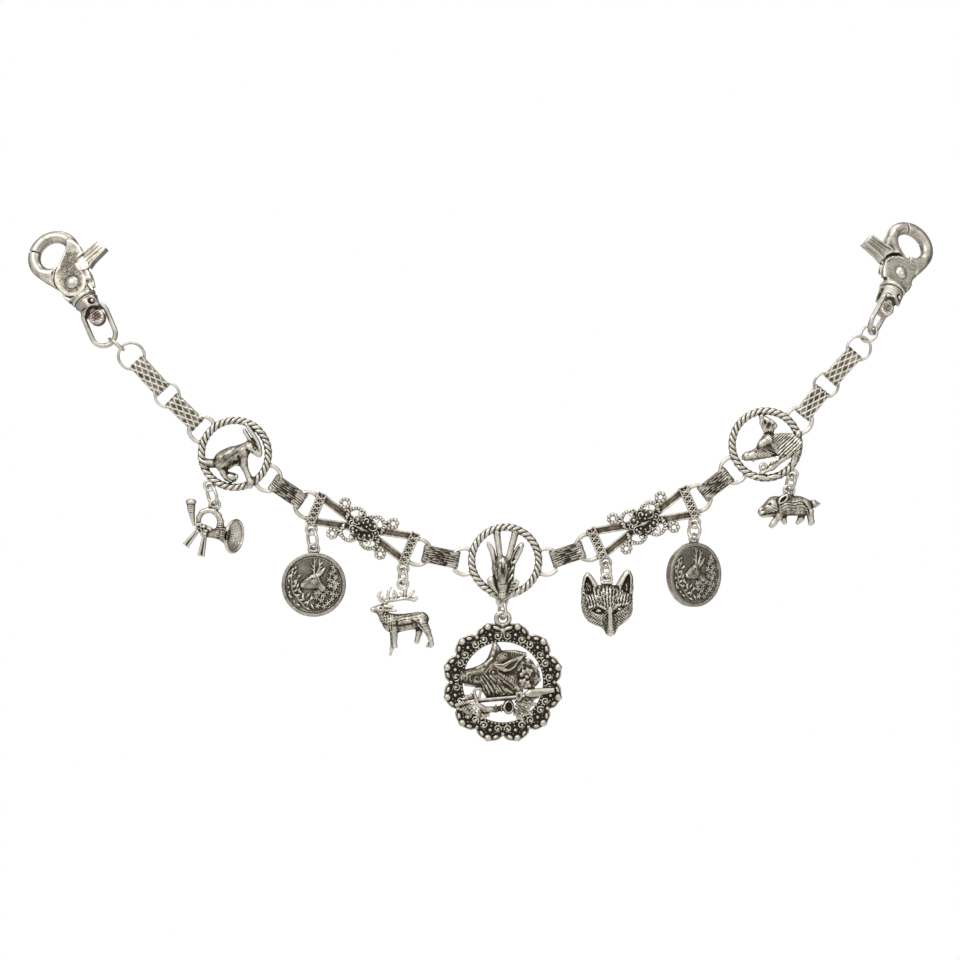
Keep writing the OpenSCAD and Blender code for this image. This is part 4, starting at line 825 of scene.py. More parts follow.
def boar_head(s):
    # the whole head, with its raised ear and back
    head = [(-14.2, 4), (-12.2, 4.4), (-10, 4.8), (-8, 5.6), (-6, 6.9), (-4.6, 8.2), (-4.1, 9.8), (-3.4, 12),
            (-2.5, 13.6), (-1.2, 12.2), (-0.3, 10.6), (2.6, 10.5), (5, 10.6), (7.6, 9.9), (8, 8.6), (6.6, 7.4),
            (7, 3), (6.4, -0.5), (6.8, -3.2), (4.8, -5.2), (2.6, -4.9), (0, -5.7), (-2.6, -5), (-5.4, -5.4),
            (-6.6, -3.4), (-7.6, -1.6), (-10.2, -1.3), (-12.8, -0.5), (-14.4, 0.2)]
    s.add(cushion(head, 0.3, 1.9, 2.4), 0.4)
    s.limbs([
        (-2.2, 5.4, 1.2, 2.4, -6.2, 4, 1.3, 1.9), (1.8, -12.6, 2.2, 0.9, 1.6), (-3.4, 2, 1, 2.4, 2.8, 0.8, 1, 2.4),
        (2.2, 5, -2, 0.8, 1.7), (-5, -1.4, 0.8, 2, 2.6, -3, 0.7, 1.8), (-8.8, 1.2, 0.9, 1.8, -5.4, 1.2, 1.1, 1.8),
        (-2.9, 12.6, 0.5, 0.5, -3.2, 9.4, 0.9, 1), (-4.4, 6.8, 1.2, 1.3)
    ], 0.8)
    # the back is plain and flat
    s.add(grown(head, -0.2, -0.9, 0.9), 0.2)
    s.cut(((-13, -7, -1.6), (9, 13, -0.85), lambda x, y, z: np.maximum(z + 0.9, np.hypot(x, y) - 12.4)))
    # snout disc with its nostril, lips, and the ringed corner of the mouth with a curled tusk
    s.bosses((-13.6, 2.2, 0.9, 0.8, 1.85, 1.5, 0.15))
    s.pits((-13.9, 2.8, 2.1, 0.3, 0.5, 0.12))
    s.grooves((-12.5, 3.8, 2.2, 0.2, -12.5, 0.6, 2.2, 0.2, 0.2))
    s.pits((-9, 1.5, 3.2, 1.75, 1.35, 1, -20, 0.2))
    s.add(hoop((-9, 1.6, 2.5), 1.95, 0.42, -30, 250, 1.4), 0.1)
    s.add(hoop((-8.7, 1.3, 2.4), 0.62, 0.42, 0, 260), 0.06)
    s.grooves((-12.8, 0, 1.9, 0.22, -7.4, -0.5, 2.4, 0.25, 0.2))
    s.limbs([(-12.4, -0.7, 0.8, 0.5, -8, -1.2, 0.9, 0.6), (-6.6, -2.6, 0.9, 0.6)], 0.2)
    # eye under an arched brow
    s.pits((-3.1, 3.4, 3.9, 1.2, 0.8, 0.9, 0.25))
    s.bosses((-3.2, 3.5, 3.2, 0.55, 0.06))
    s.add(hoop((-3, 3.2, 3.3), 1.5, 0.42, 5, 165), 0.12)
    s.grooves((-4.8, 5.6, 3.2, 0.16, -6.6, 3.4, 3.2, 0.16, 0.3), (-1.9, 11.9, 1.8, 0.4, -2.2, 9, 2.4, 0.55, 0.3))
    # curled forelock
    s.bosses((0, 8.1, 1.6, 2.3, 2, 1.5, 0.3))
    s.add(hoop((0.8, 9, 2.9), 0.6, 0.34, 0, 300), 0.05)
    for r, start in ((0.9, 100), (1.35, 90), (1.8, 95)):
        s.add(hoop((-0.3, 7.6, 3 - 0.25 * r), r, 0.34, start, 150, 1.2), 0.05)
    s.cut(hoop((-0.3, 7.6, 2.9), 1.12, 0.2, 80, 180, 2), 0.05)
    s.cut(hoop((-0.3, 7.6, 2.7), 1.6, 0.2, 80, 180, 2), 0.05)
    # the ear laid back over the neck: a raised rim round a dark hollow
    s.add(cushion([(-2.9, 5.8), (-0.2, 6.1), (2.4, 7.4), (5.1, 8.3), (7.2, 9.2), (6.2, 7.6), (5.2, 6.8), (4.1, 5),
                   (2.4, 3.9), (0.6, 3.6), (-1.8, 4.4)], 3.1, 0.9, 0.8), 0.25)
    s.cut(cushion([(0.4, 5), (2.6, 6.8), (5.2, 7.8), (4.6, 6.4), (3.6, 5), (2, 4.4)], 4.2, 1, 0.6), 0.08)
    s.limbs([(-2.8, 5.9, 3.2, 0.3, 0.2, 6.1, 3.8, 0.3), (2.6, 7.4, 3.9, 0.3), (6.2, 8.7, 3.4, 0.25)], 0.08)
    # the far ear and the crest of the back
    s.limbs([(3.6, 10, 0.8, 0.8, 7.2, 9.3, 0.9, 0.7), (0.6, 10.1, 0.8, 0.7, 4, 10, 0.8, 0.7)], 0.3)

    def coat(x, y, z):
        """Long bristles sweep down and back from the cheek; the neck behind them stays smoother."""
        along = 0.70 * (x + 7) - 0.72 * (y - 2)
        across = 0.72 * (x + 7) + 0.70 * (y - 2)
        inside = np.clip((1.9 - 0.62 * x - y) / 1.2, 0, 1) * np.clip((x + 7.6) / 1.2, 0, 1)
        inside = inside * np.clip(3.2 - y, 0, 1)
        fan = across - 0.06 * along * (across - 3)
        return 0.32 * inside * hair(along, fan, 1.05, 5.4, 1)
    s.carve((-8.5, -6, 1.2), (6.6, 3.4, 4.4), coat)
    s.limbs([(-1, 2.9, 2.7, 0.7, 2.6, 0.6, 2.7, 0.75), (5.6, -2.6, 2, 0.6), (-8.4, 4.6, 2, 0.6, -5.6, 6, 2.3, 0.75),
             (0.7, -3.6, 8, 2.2, 0.6), (-11.6, 2.9, 1.9, 0.5, -6.6, 3.9, 2.6, 0.55)], 0.4)
    s.strokes((-14, 0.4, 1.2), (-1.4, 13, 4.4), 0.03, (1, 0.5), (-0.4, 1), 0.9, 2.4, 2)
    s.strokes((0, 0, 1.2), (7, 5, 3.4), 0.08, (0.4, 1), (1, -0.4), 0.9, 2.4, 3)
    s.strokes((-1, 9.2, 0.6), (9, 11.2, 4.4), 0.12, (0, 1), (1, 0), 0.8, 2, 3)


def pendant():
    s = Sculpt((-20.8, -21.2, -1.6), (20.8, 24.2, 4.8), 0.17)
    pendant_frame(s)
    s.add(hoop((0, PENDANT_DROP, 0), 2.15, 1.6), 0.2)
    s.limbs([(0, 18.9, 0, 0.9, 0, 16.7, 0, 1.2), (-1.9, 18.2, 0.5, 0.6, 0, 17.2, 0.6, 0.6),
             (1.9, 18.2, 0.5, 0.6, 0, 17.2, 0.6, 0.6)], 0.3)
    boar_head(s)
    # bunch of oak leaves behind the nape with an acorn, each over the last
    s.add(cushion([(5.2, 8), (8.4, 7.9), (9.8, 7.4), (11, 5.2), (12.2, 3.6), (12.6, 0.6), (11.2, -1.2), (8.6, -2.2),
                   (6.2, -1.8), (5, 1)], 0.5, 1, 1.2), 0.3)
    for at, turn, length, width, z in (
        ((6.4, 3.6), 62, 5, 3, 1.2), ((7.4, 3), 30, 5.4, 3, 1.2), ((7.6, 1.4), -6, 5.2, 3, 1.1),
        ((6.8, 0.2), -38, 5.4, 3, 1), ((5.2, 3.8), 78, 4.6, 2.8, 1.9), ((5.6, 2.4), 22, 4.8, 3, 2.1),
        ((5.4, 0.8), -28, 4.6, 2.8, 2), ((5, 0.2), -66, 3.6, 2.4, 1.8)
    ):
        oak_leaf(s, at, turn, length, width, z, 0.7)
    s.bosses((8, 2, 2.9, 0.55, 0.8, 0.6, 70, 0.05))
    s.cut(hoop((8, 2, 3.3), 0.5, 0.14), 0.03)
    # leaves round the lower half
    for at, turn, length, width, z in (
        ((-8.6, -4.4), 194, 5.2, 2.2, 0.8), ((-9.4, -7.4), 200, 5.4, 2.2, 0.7), ((-8.8, -8.4), 222, 5.2, 2.4, 0.6),
        ((-6.2, -8.6), 236, 4.8, 2.6, 0.6), ((-4.2, -9.4), 222, 4.4, 2.2, 0.9), ((4, -6.4), -8, 7.6, 2.6, 1),
        ((4.2, -7.6), -30, 6.8, 2.8, 0.8), ((3.4, -8.6), -52, 5.6, 2.4, 0.7), ((5.8, -5.4), 4, 6.4, 2, 0.8)
    ):
        oak_leaf(s, at, turn, length, width, z, 0.7)
    # knife: antler grip, guard and broad blade
    s.limbs([(-15.4, -7.5, 1, 0.7, -12, -6.6, 1.2, 0.6), (-14.6, -6.4, 1, 0.45, -12.4, -6.8, 1.2, 0.45)], 0.2)
    s.carve((-16, -8.8, 0.6), (-11.6, -5.4, 4.2), lambda x, y, z: 0.1 * np.sin(TAU * (x + 0.8 * y) / 0.9))
    s.limbs([(-12, -6.6, 1.2, 0.55, -8.4, -5.8, 2, 0.5), (0.45, 4.4, -4.6, 2.9, 0.42)], 0.12, 0.8)
    s.limbs([(-7.8, -6.2, 1.3, 0.6, 3.8, -5.2, 2, 0.6)], 0.2)
    s.add(plate([(4.2, -3.2), (6.4, -2.8), (6.7, -4.4), (6.2, -5.7), (5.2, -6.4), (4.3, -5.6)], 1.1, 2.9, 0.4), 0.15)
    s.pits((5.4, -4.4, 3.2, 0.6, 0.9, 0.5, 0.12))
    s.add(cushion([(6.6, -3.8), (7.6, -3), (8.8, -2.2), (12, -1.8), (17.2, -1.8), (17.2, -3.2), (13.6, -4),
                   (12, -4.7), (9.4, -4.9), (7.4, -4.5)], 1.7, 0.95, 0.9), 0.12)
    s.grooves((8.4, -2.6, 2.9, 0.14, 16.4, -2.1, 2.8, 0.12, 0.06), (6.8, -3, 2.4, 0.3, 7.4, -4.6, 2.4, 0.3, 0.1))
    # small horn: cord, curved tube with grooves, rings and an open mouth
    s.limbs([
        (-9.6, -3, 1.6, 0.45, -8.8, -2.1, 1.8, 0.5), (-7.4, -2, 1.8, 0.5), (-9.6, -3, 1.6, 0.5, -8.8, -5.6, 1.8, 0.6),
        (-7.2, -2.2, 1.7, 0.4, -7.9, -5.2, 1.9, 0.45), (-8.8, -5.6, 1.8, 0.6, -8.4, -7.2, 2, 0.75),
        (0.8, -5.9, -8.9, 2.2, 0.95), (-2.2, -8.9, 2.3, 1.05), (-2.2, -8.8, 2.3, 0.9, 0.6, -8.3, 2.3, 1)
    ], 0.12)
    s.grooves((-8.2, -6.9, 2.9, 0.14, -5.8, -8.5, 3.2, 0.16, 0.06), (-2.8, -8.6, 3.4, 0.16, 0.06),
              (-7.9, -8.2, 2.8, 0.12, -5.4, -9.5, 3, 0.12, 0.06))
    for x in (-2.3, -0.5):
        s.bosses((x, -8.5, 2.2, 0.36, 1.45, 1.3, 0.08))
    s.bosses((1.9, -8.1, 1.9, 1.95, 2.5, 1.6, 0.2))
    s.pits((2, -8.1, 3.4, 1.25, 1.75, 1.6, 0.1))
    return s


def lit_head(points):
    """The head and leaves in the pendant's opening are paler than its frame."""
    x, y, z = points.T
    return 0.24 * np.clip((13.4 - np.hypot(x, y)) / 0.5, 0, 1) * np.clip(y + 6.5, 0, 1)


# Charms, each about the middle of its own loop
def lug(s):
    s.add(hoop((0, 0, 0), *LUG), 0.2)


def stag():
    s = Sculpt((-12.2, -25.4, -3.6), (12.2, 2.6, 3.6), 0.16)
    lug(s)
    s.limbs([(0.9, -1.6, 0, 0.62, 0.6, -3.6, 0, 0.7)], 0.3)
    # trunk: shoulder, back and rump, with a lean belly
    s.add(cushion([
        (-8, -10.2), (-4.8, -10.5), (-2, -10.3), (0.6, -10.1), (4.6, -9.4), (6.6, -9.4), (7.9, -10.2), (8.6, -11.4),
        (8.1, -13.2), (7, -14.6), (5, -14.9), (3.2, -15.2), (0.6, -15.6), (-1.8, -16.2), (-4.2, -15.9), (-6.4, -14),
        (-7.6, -12.2)
    ], 0, 2, 2.2), 0.5)
    s.limbs([
        (-4, -12.6, 0, 2.6, -4.2, -13.6, 0, 2.3), (-3.6, -12.3, 0, 2.3, 2, -12.2, 0, 2.2),
        (6.2, -11.7, 0, 2.3), (-5.6, -11.4, 0, 1.9, -7, -9.4, 0, 1.6),
        # head and muzzle
        (-6.6, -8.4, 0, 1.65, -7.6, -8.4, 0, 1.5), (1.4, -9.9, -8.5, 0, 0.95),
    ], 0.8)
    s.bosses((-10.1, -8.5, 0, 0.6, 0.85, 0.8, 0.3))
    for side in (-1, 1):
        s.pits((-7.3, -8, side * 1.5, 0.5, 0.36, 0.4, 0.15))
        s.bosses((-7.3, -8.05, side * 1.3, 0.26, 0.08))
        s.grooves((-10.7, -8.9, side * 0.7, 0.14, -8.6, -9.2, side * 1.3, 0.14, 0.15))
        s.pits((-10.6, -8.3, side * 0.4, 0.16, 0.08))
        s.grooves((-5.9, -9.2, side * 1.7, 0.25, -6.6, -9.9, side * 1.6, 0.2, 0.4),
                  (-2, -12.4, side * 2.4, 0.2, -1.6, -15, side * 2.1, 0.3, 0.6),
                  (-1, -14, side * 2.3, 0.5, 3.2, -13.2, side * 2.4, 0.45, 0.6),
                  (3, -12, side * 2.6, 0.35, 5.2, -13.6, side * 2.2, 0.35, 0.5))
    # ears
    s.limbs([(-5.8, -7.4, 0.9, 0.75, -3.6, -7.5, 1.2, 0.5)], 0.3)
    s.limbs([(-5.8, -8.6, 0.9, 0.8, -2.4, -8.8, 1, 0.4)], 0.3)
    s.grooves((-5, -8.6, 1.7, 0.22, -3, -8.7, 1.5, 0.18, 0.12))
    # antlers: one heavy beam to the right, tines up from it and a brow tine curling up at the left
    beam = ((-6.2, -6.9, 0.75), (-5.2, -5.6, 0.62), (-2.6, -5.2, 0.6), (0.6, -4.7, 0.62), (2.2, -4.9, 0.55),
            (3.7, -5.4, 0.5), (4.7, -4.8, 0.42))
    for (x0, y0, r0), (x1, y1, r1) in zip(beam, beam[1:]):
        s.limbs([(x0, y0, 0.3, r0, x1, y1, 0.3, r1)], 0.15)
        s.limbs([(x0 * 0.98, y0 + 0.5, -0.7, r0 * 0.75, x1 * 0.97, y1 + 0.5, -0.7, r1 * 0.75)], 0.15)
    for path in (
        ((-6.2, -6.3, 0.55), (-7.6, -5.2, 0.52), (-8.2, -3.8, 0.5), (-7.4, -2.6, 0.4)),
        ((-5.6, -5.7, 0.5), (-6.4, -4.9, 0.42), (-6.8, -4.3, 0.34)),
        ((-4.8, -5.3, 0.55), (-5, -3.5, 0.5), (-4.7, -2.2, 0.46), (-3.9, -1.2, 0.34)),
        ((-4, -5.2, 0.4), (-3.2, -4.2, 0.36), (-3.2, -2.9, 0.3)),
        ((-2.4, -5.1, 0.5), (-2.1, -3.7, 0.45), (-2.9, -2.1, 0.32)),
        ((-0.6, -4.7, 0.42), (-0.2, -3.6, 0.36), (-1, -2.9, 0.3)),
        ((1.4, -4.6, 0.52), (2.7, -3.6, 0.48), (3.7, -2.2, 0.36)), ((2.6, -3.7, 0.4), (2.6, -2.9, 0.32))
    ):
        for (x0, y0, r0), (x1, y1, r1) in zip(path, path[1:]):
            s.limbs([(x0, y0, 0.35, r0, x1, y1, 0.4, r1)], 0.12)
    s.carve((-9, -6.6, -2), (5.4, -1, 2), lambda x, y, z: 0.07 * hair(x, y + z, 0.45, 1.2, 5))
    # forelegs close together, with their hooves, then the hind legs
    s.limbs([
        (-2.9, -14.6, 0.9, 1.4, -2.8, -17.6, 0.9, 1), (0.95, -2.7, -20.4, 0.9, 0.8),
        (-2.6, -20.4, 0.9, 0.75, -2.3, -20.8, 0.9, 0.55), (-3.2, -15, -0.6, 1.3, -3.3, -19, -0.6, 0.85),
        (0.8, -3.7, -21.6, -0.6, 0.65), (0.6, -4.2, -23.7, -0.6, 0.35), (6.4, -12.8, 0.9, 1.9, 8.2, -15.6, 1, 1.2),
        (1.1, 9.2, -18.2, 1, 0.85), (0.8, 9.6, -20, 1, 0.8), (9.5, -19.9, 1, 0.6, 9.2, -20.8, 1, 0.5),
        (9, -19.4, 0.6, 0.55, 8.1, -20.7, 0.6, 0.5), (5.4, -13.8, -0.9, 1.5, 5.4, -16.2, -0.9, 1.1),
        (1, 4.6, -19.2, -0.9, 0.85)
    ], 0.4)
    s.grooves((5.2, -12.8, 2.6, 0.25, 8.4, -17.2, 2, 0.2, 0.3), (-3.9, -16.4, 1.6, 0.2, -3.5, -20.6, 1.4, 0.18, 0.25))
    s.cut(hoop((7.1, -11.2, 2.2), 0.9, 0.35, -80, 200), 0.25)
    s.strokes((-8, -16.4, -3), (9, -9, 3), 0.06, (1, 0.2), (-0.2, 1), 1.1, 1.9, 1)
    s.strokes((-8, -16, -3), (-3, -9, 3), 0.08, (0, -1), (1, 0), 0.9, 1.5, 2)
    s.strokes((-4.6, -24, -2), (10.6, -15.6, 2.4), 0.06, (0, 1), (1, 0), 0.6, 1.6, 3)
    return s


def ear_oval(long, wide):
    return [np.add((-2.2, -3), turned((long * math.cos(t), wide * math.sin(t)), 42)) for t in np.arange(0, TAU, 0.35)]


def boar():
    s = Sculpt((-12.5, -14, -4.2), (12.5, 2.6, 4.2), 0.17)
    lug(s)
    s.limbs([(0, -1.2, 0, 0.9, 0.2, -3.4, 0, 1.5)], 0.5)
    # body, neck and head, down to the long snout
    s.limbs([(-1.2, -5.4, 0, 3.2, 3, -5.2, 0, 3.1), (5, -5.6, 0, 2.7), (-1.6, -5, 0, 3.1, -5, -4.9, 0, 2.7),
             (2.6, -6.6, -6, 0, 2.1), (2, -8.9, -7.2, 0, 1.55)], 1)
    s.bosses((-9.5, -7.3, 0, 0.65, 1.35, 1.3, 0.2))
    for side in (-1, 1):
        s.pits((-10.1, -7.2, side * 0.5, 0.25, 0.1))
        # mouth and lower jaw, eye, and the leaf-shaped ear with its hollow
        s.grooves((-9.3, -8.2, side * 1.5, 0.16, -5.6, -7.3, side * 2.3, 0.2, 0.2))
        s.limbs([(-8.6, -8.6, side * 0.5, 0.6, -4.6, -7.9, side * 0.9, 0.9)], 0.3)
        for x0, y0, x1, y1, r, z in (
            (-9.6, -6.5, -7.6, -5.2, 0.5, 1), (-9.3, -7.6, -7.4, -6.6, 0.42, 1.5), (-7.6, -5.5, -5.2, -3.8, 0.4, 1.9),
            (-7.4, -6.2, -5.2, -7.2, 0.34, 2.1), (-6.6, -5.8, -4.4, -6.8, 0.34, 2.45),
            (-5.6, -5.2, -3.9, -6.2, 0.34, 2.6)
        ):
            s.add(limb((x0, y0, side * z * 0.9), r, (x1, y1, side * z), r * 0.7), 0.2)
        s.pits((-6.4, -4.7, side * 2.1, 0.65, 0.45, 0.5, 0.2))
        s.bosses((-6.4, -4.7, side * 1.95, 0.36, 0.1))
        s.add(hoop((-6.3, -4.6, side * 2), 0.95, 0.35, 20, 150), 0.2)
        s.add(cushion(ear_oval(2.3, 1.25), side * 2.6, 0.9, 0.8), 0.15)
        s.cut(cushion(ear_oval(1.5, 0.6), side * 3.5, 0.9, 0.4), 0.1)
        # haunch, sweeping down into the hind leg, and the shoulder
        s.limbs([(5, -4.6, side * 0.9, 1.9, 6.9, -7.2, side * 1.2, 1.2), (1.1, 7.4, -10.6, side * 1.2, 0.95)], 0.6)
        s.limbs([(-2.6, -6.2, side * 1.2, 1.6, -3.6, -8.8, side * 1.4, 1.1)], 0.6)
        s.grooves((4.2, -3.6, side * 3, 0.2, 6.2, -6.4, side * 2.8, 0.25, 0.35),
                  (6.2, -6.4, side * 2.6, 0.25, 6.5, -8.6, side * 2.3, 0.2, 0.3),
                  (-3.9, -4.8, side * 3.1, 0.12, -3.8, -7.4, side * 2.7, 0.15, 0.5))
    # near and far legs as the front shows them
    s.limbs([(-3.6, -8.6, 1.2, 1.15, -5.4, -11.2, 1.3, 1.05), (1, -6, -11.8, 1.3, 0.9)])
    s.limbs([(-1.6, -7.6, -1, 1.2, -1.8, -9.4, -1.1, 1.1), (1.05, -1.4, -10.7, -1, 0.85)])
    s.limbs([(4.4, -7.4, -1, 1.4, 4.1, -9.4, -1.1, 1.15), (1.1, 3, -10.8, -0.9, 0.75)])
    s.limbs([(7.4, -10.4, 1.2, 0.95, 7, -11, 1.3, 0.85)])
    # tail: a pointed tuft
    s.limbs([(6.4, -4.2, 0, 0.9, 8.2, -4.6, 0, 1.35), (10.6, -4.6, 0, 0.2)], 0.5)
    s.carve((6.6, -7, -2), (11, -2.6, 2), lambda x, y, z: 0.12 * hair(x, y - 0.3 * (x - 8), 0.6, 1.9, 2))
    # streaks along the flank, and the ridge of bristles on the back
    s.carve((-4, -9, -4), (6, -3.4, 4), lambda x, y, z: 0.075 * hair(
        x + 0.35 * y, y + 0.03 * x * x - 0.12 * x + 0.16 * np.sin(1.3 * x), 1, 2.3, 1
    ))
    s.strokes((-9, -9, -4), (-4, -2, 4), 0.06, (1, 1), (-0.6, 1), 0.7, 1.8, 3)
    s.strokes((-6, -3.4, -2.2), (5, -1, 2.2), 0.1, (0, 1), (1, 0), 0.6, 1.4, 4)
    return s


def fox():
    s = Sculpt((-9.8, -20.8, -3.6), (10.4, 3.4, 5.2), 0.16)
    lug(s)
    s.limbs([(-1.4, -1.4, 0.2, 0.6, 1.4, -1.4, 0.2, 0.6)], 0.3)
    face = [(-8.3, -4.4), (-8.5, -8.2), (-8.2, -10.6), (-7.4, -12.7), (-5.9, -14.4), (-3.8, -15.5), (-1.8, -16.1),
            (-0.8, -17.2), (-0.2, -18.5), (1.2, -19.4), (2.8, -18.5), (3.4, -17), (4.2, -15.8), (6.6, -14.1),
            (8.2, -12.3), (8.7, -10.4), (8.6, -4.4), (5.6, -2.6), (3.2, -2.2), (0.2, -1.9), (-2.8, -2.2), (-5.4, -3)]
    s.add(cushion(face, 0, 2.3, 3.2), 0.3)
    s.limbs([(-4.4, -7.2, 0.6, 2.3, 5.2, -7, 0.6, 2.3)], 1.2)
    s.limbs([(0.4, -5, 0.9, 2.3, 1.1, -11.5, 1.5, 1.5), (1.2, -16.8, 1.8, 1.25)], 1.2)
    s.limbs([(1.1, -10, 2.6, 0.75, 1.2, -16.6, 2.6, 0.85), (1.2, -16.4, 2.2, 0.9, 1.2, -17.8, 1.6, 1.4)], 0.6)
    for ear, hollow in (
        ([(-8.4, -5.2), (-8.3, -2.2), (-7.8, 0.6), (-6.8, 2.1), (-6, 2.1), (-5, 1.2), (-3.8, -0.5), (-2.7, -2.2),
          (-4.2, -5.4)],
         [(-7.6, -4.6), (-7.5, -1.4), (-6.9, 0.6), (-6.3, 0.9), (-5.4, -0.4), (-4.3, -2.8), (-4.6, -4.6),
          (-6.2, -5.4)]),
        ([(8.7, -5.2), (8.9, -3), (8.8, 0.6), (8, 2.6), (7, 3.1), (5.8, 2.5), (4.4, 0.4), (3.1, -2), (4.4, -5.4)],
         [(4.8, -3.4), (5.4, -1.4), (6.4, 0.7), (7.4, 1.9), (7.9, 0.8), (7.9, -2.6), (7.6, -4.9), (6.2, -4.6)]),
    ):
        s.add(cushion(ear, 0.5, 1.3, 1.1), 0.4)
        s.cut(cushion(hollow, 1.9, 1.5, 0.5), 0.25)
        s.strokes((-8.4, -5.6, -1), (9, -2, 3.6), 0.16, (0.3, -1), (1, 0.2), 0.8, 2.6, 7,
                  lambda x, y: np.abs(x) > 4.2)
    # brow ridges, slanting hollows and bright eyes
    for lids, pupil, brow in (
        ([(-6.2, -10.9), (-4.6, -9.7), (-2.6, -9.4), (-0.9, -10.2), (-0.3, -11.6), (-1.6, -12.2), (-3.6, -11.9),
          (-5.2, -11.3)], (-2.7, -10.5), ((-6, -9.5), (-3, -8.6), (-0.4, -9.9))),
        ([(1.9, -11.6), (2.4, -10.4), (3.8, -9.4), (5.6, -8.9), (7, -8.9), (6, -10.2), (4.4, -11), (2.8, -11.9)],
         (4.2, -10), ((2.1, -9.8), (4, -8.5), (6.8, -8.2))),
    ):
        s.cut(cushion(lids, 3.1, 1.5, 0.9), 0.35)
        s.bosses((*pupil, 1.7, 1.25, 0.75, 0.9, 10, 0.1))
        s.cut(hoop((*pupil, 2.4), 0.72, 0.32), 0.08)
        s.bosses((*pupil, 2.35, 0.42, 0.42, 0.35, 0.05))
        for a, b in zip(brow, brow[1:]):
            s.limbs([(*a, 2.5, 0.42, *b, 2.6, 0.42)])
    # dark hollows beside the bridge, mouth and nose
    s.grooves((-0.4, -11.6, 3.4, 0.7, -0.6, -15.2, 2.6, 0.5, 0.6), (2.5, -11.4, 3.4, 0.65, 3, -14.8, 2.7, 0.5, 0.6),
              (1.15, -9.6, 4.4, 0.25, 1.2, -15.6, 4.2, 0.2, 0.35))
    s.pits((0.65, -17.2, 3.3, 0.3, 0.15), (1.75, -17.2, 3.3, 0.3, 0.15))
    s.grooves((-0.2, -17.6, 2.2, 0.14, 0.6, -18.7, 1.6, 0.12, 0.15),
              (2.6, -17.6, 2.2, 0.14, 1.8, -18.7, 1.6, 0.12, 0.15))

    def fur(x, y, z):
        """Strokes run from the crown to the bridge on the forehead, and outward and down on the cheeks."""
        top = 0.2 * hair(-y + 0.25 * np.abs(x - 0.6), (x - 0.6) / (1 + 0.06 * (y + 10)), 0.95, 2.3, 1)
        side = np.sign(x - 1.1)
        cheek = 0.19 * hair(-y + 0.9 * side * (x - 1.1), y * 0.8 + 0.75 * side * (x - 1.1), 0.8, 2.6, 4)
        low = np.clip((-9.6 - y + 0.12 * np.abs(x - 1)) / 0.8, 0, 1)
        plain = np.clip(np.abs(x - 1.15) - 0.85, 0, 0.4) / 0.4
        bridge = np.clip((-9 - y) / 0.6, 0, 1)
        return (top * (1 - low) + cheek * low) * (1 - bridge * (1 - plain))
    s.carve((-8.8, -18, 0.2), (9, -2.3, 5.2), fur)
    s.strokes((-8.8, -19, -3.6), (9, -1, -0.4), 0.05, (0, -1), (1, 0), 1.1, 2.8, 5)
    return s


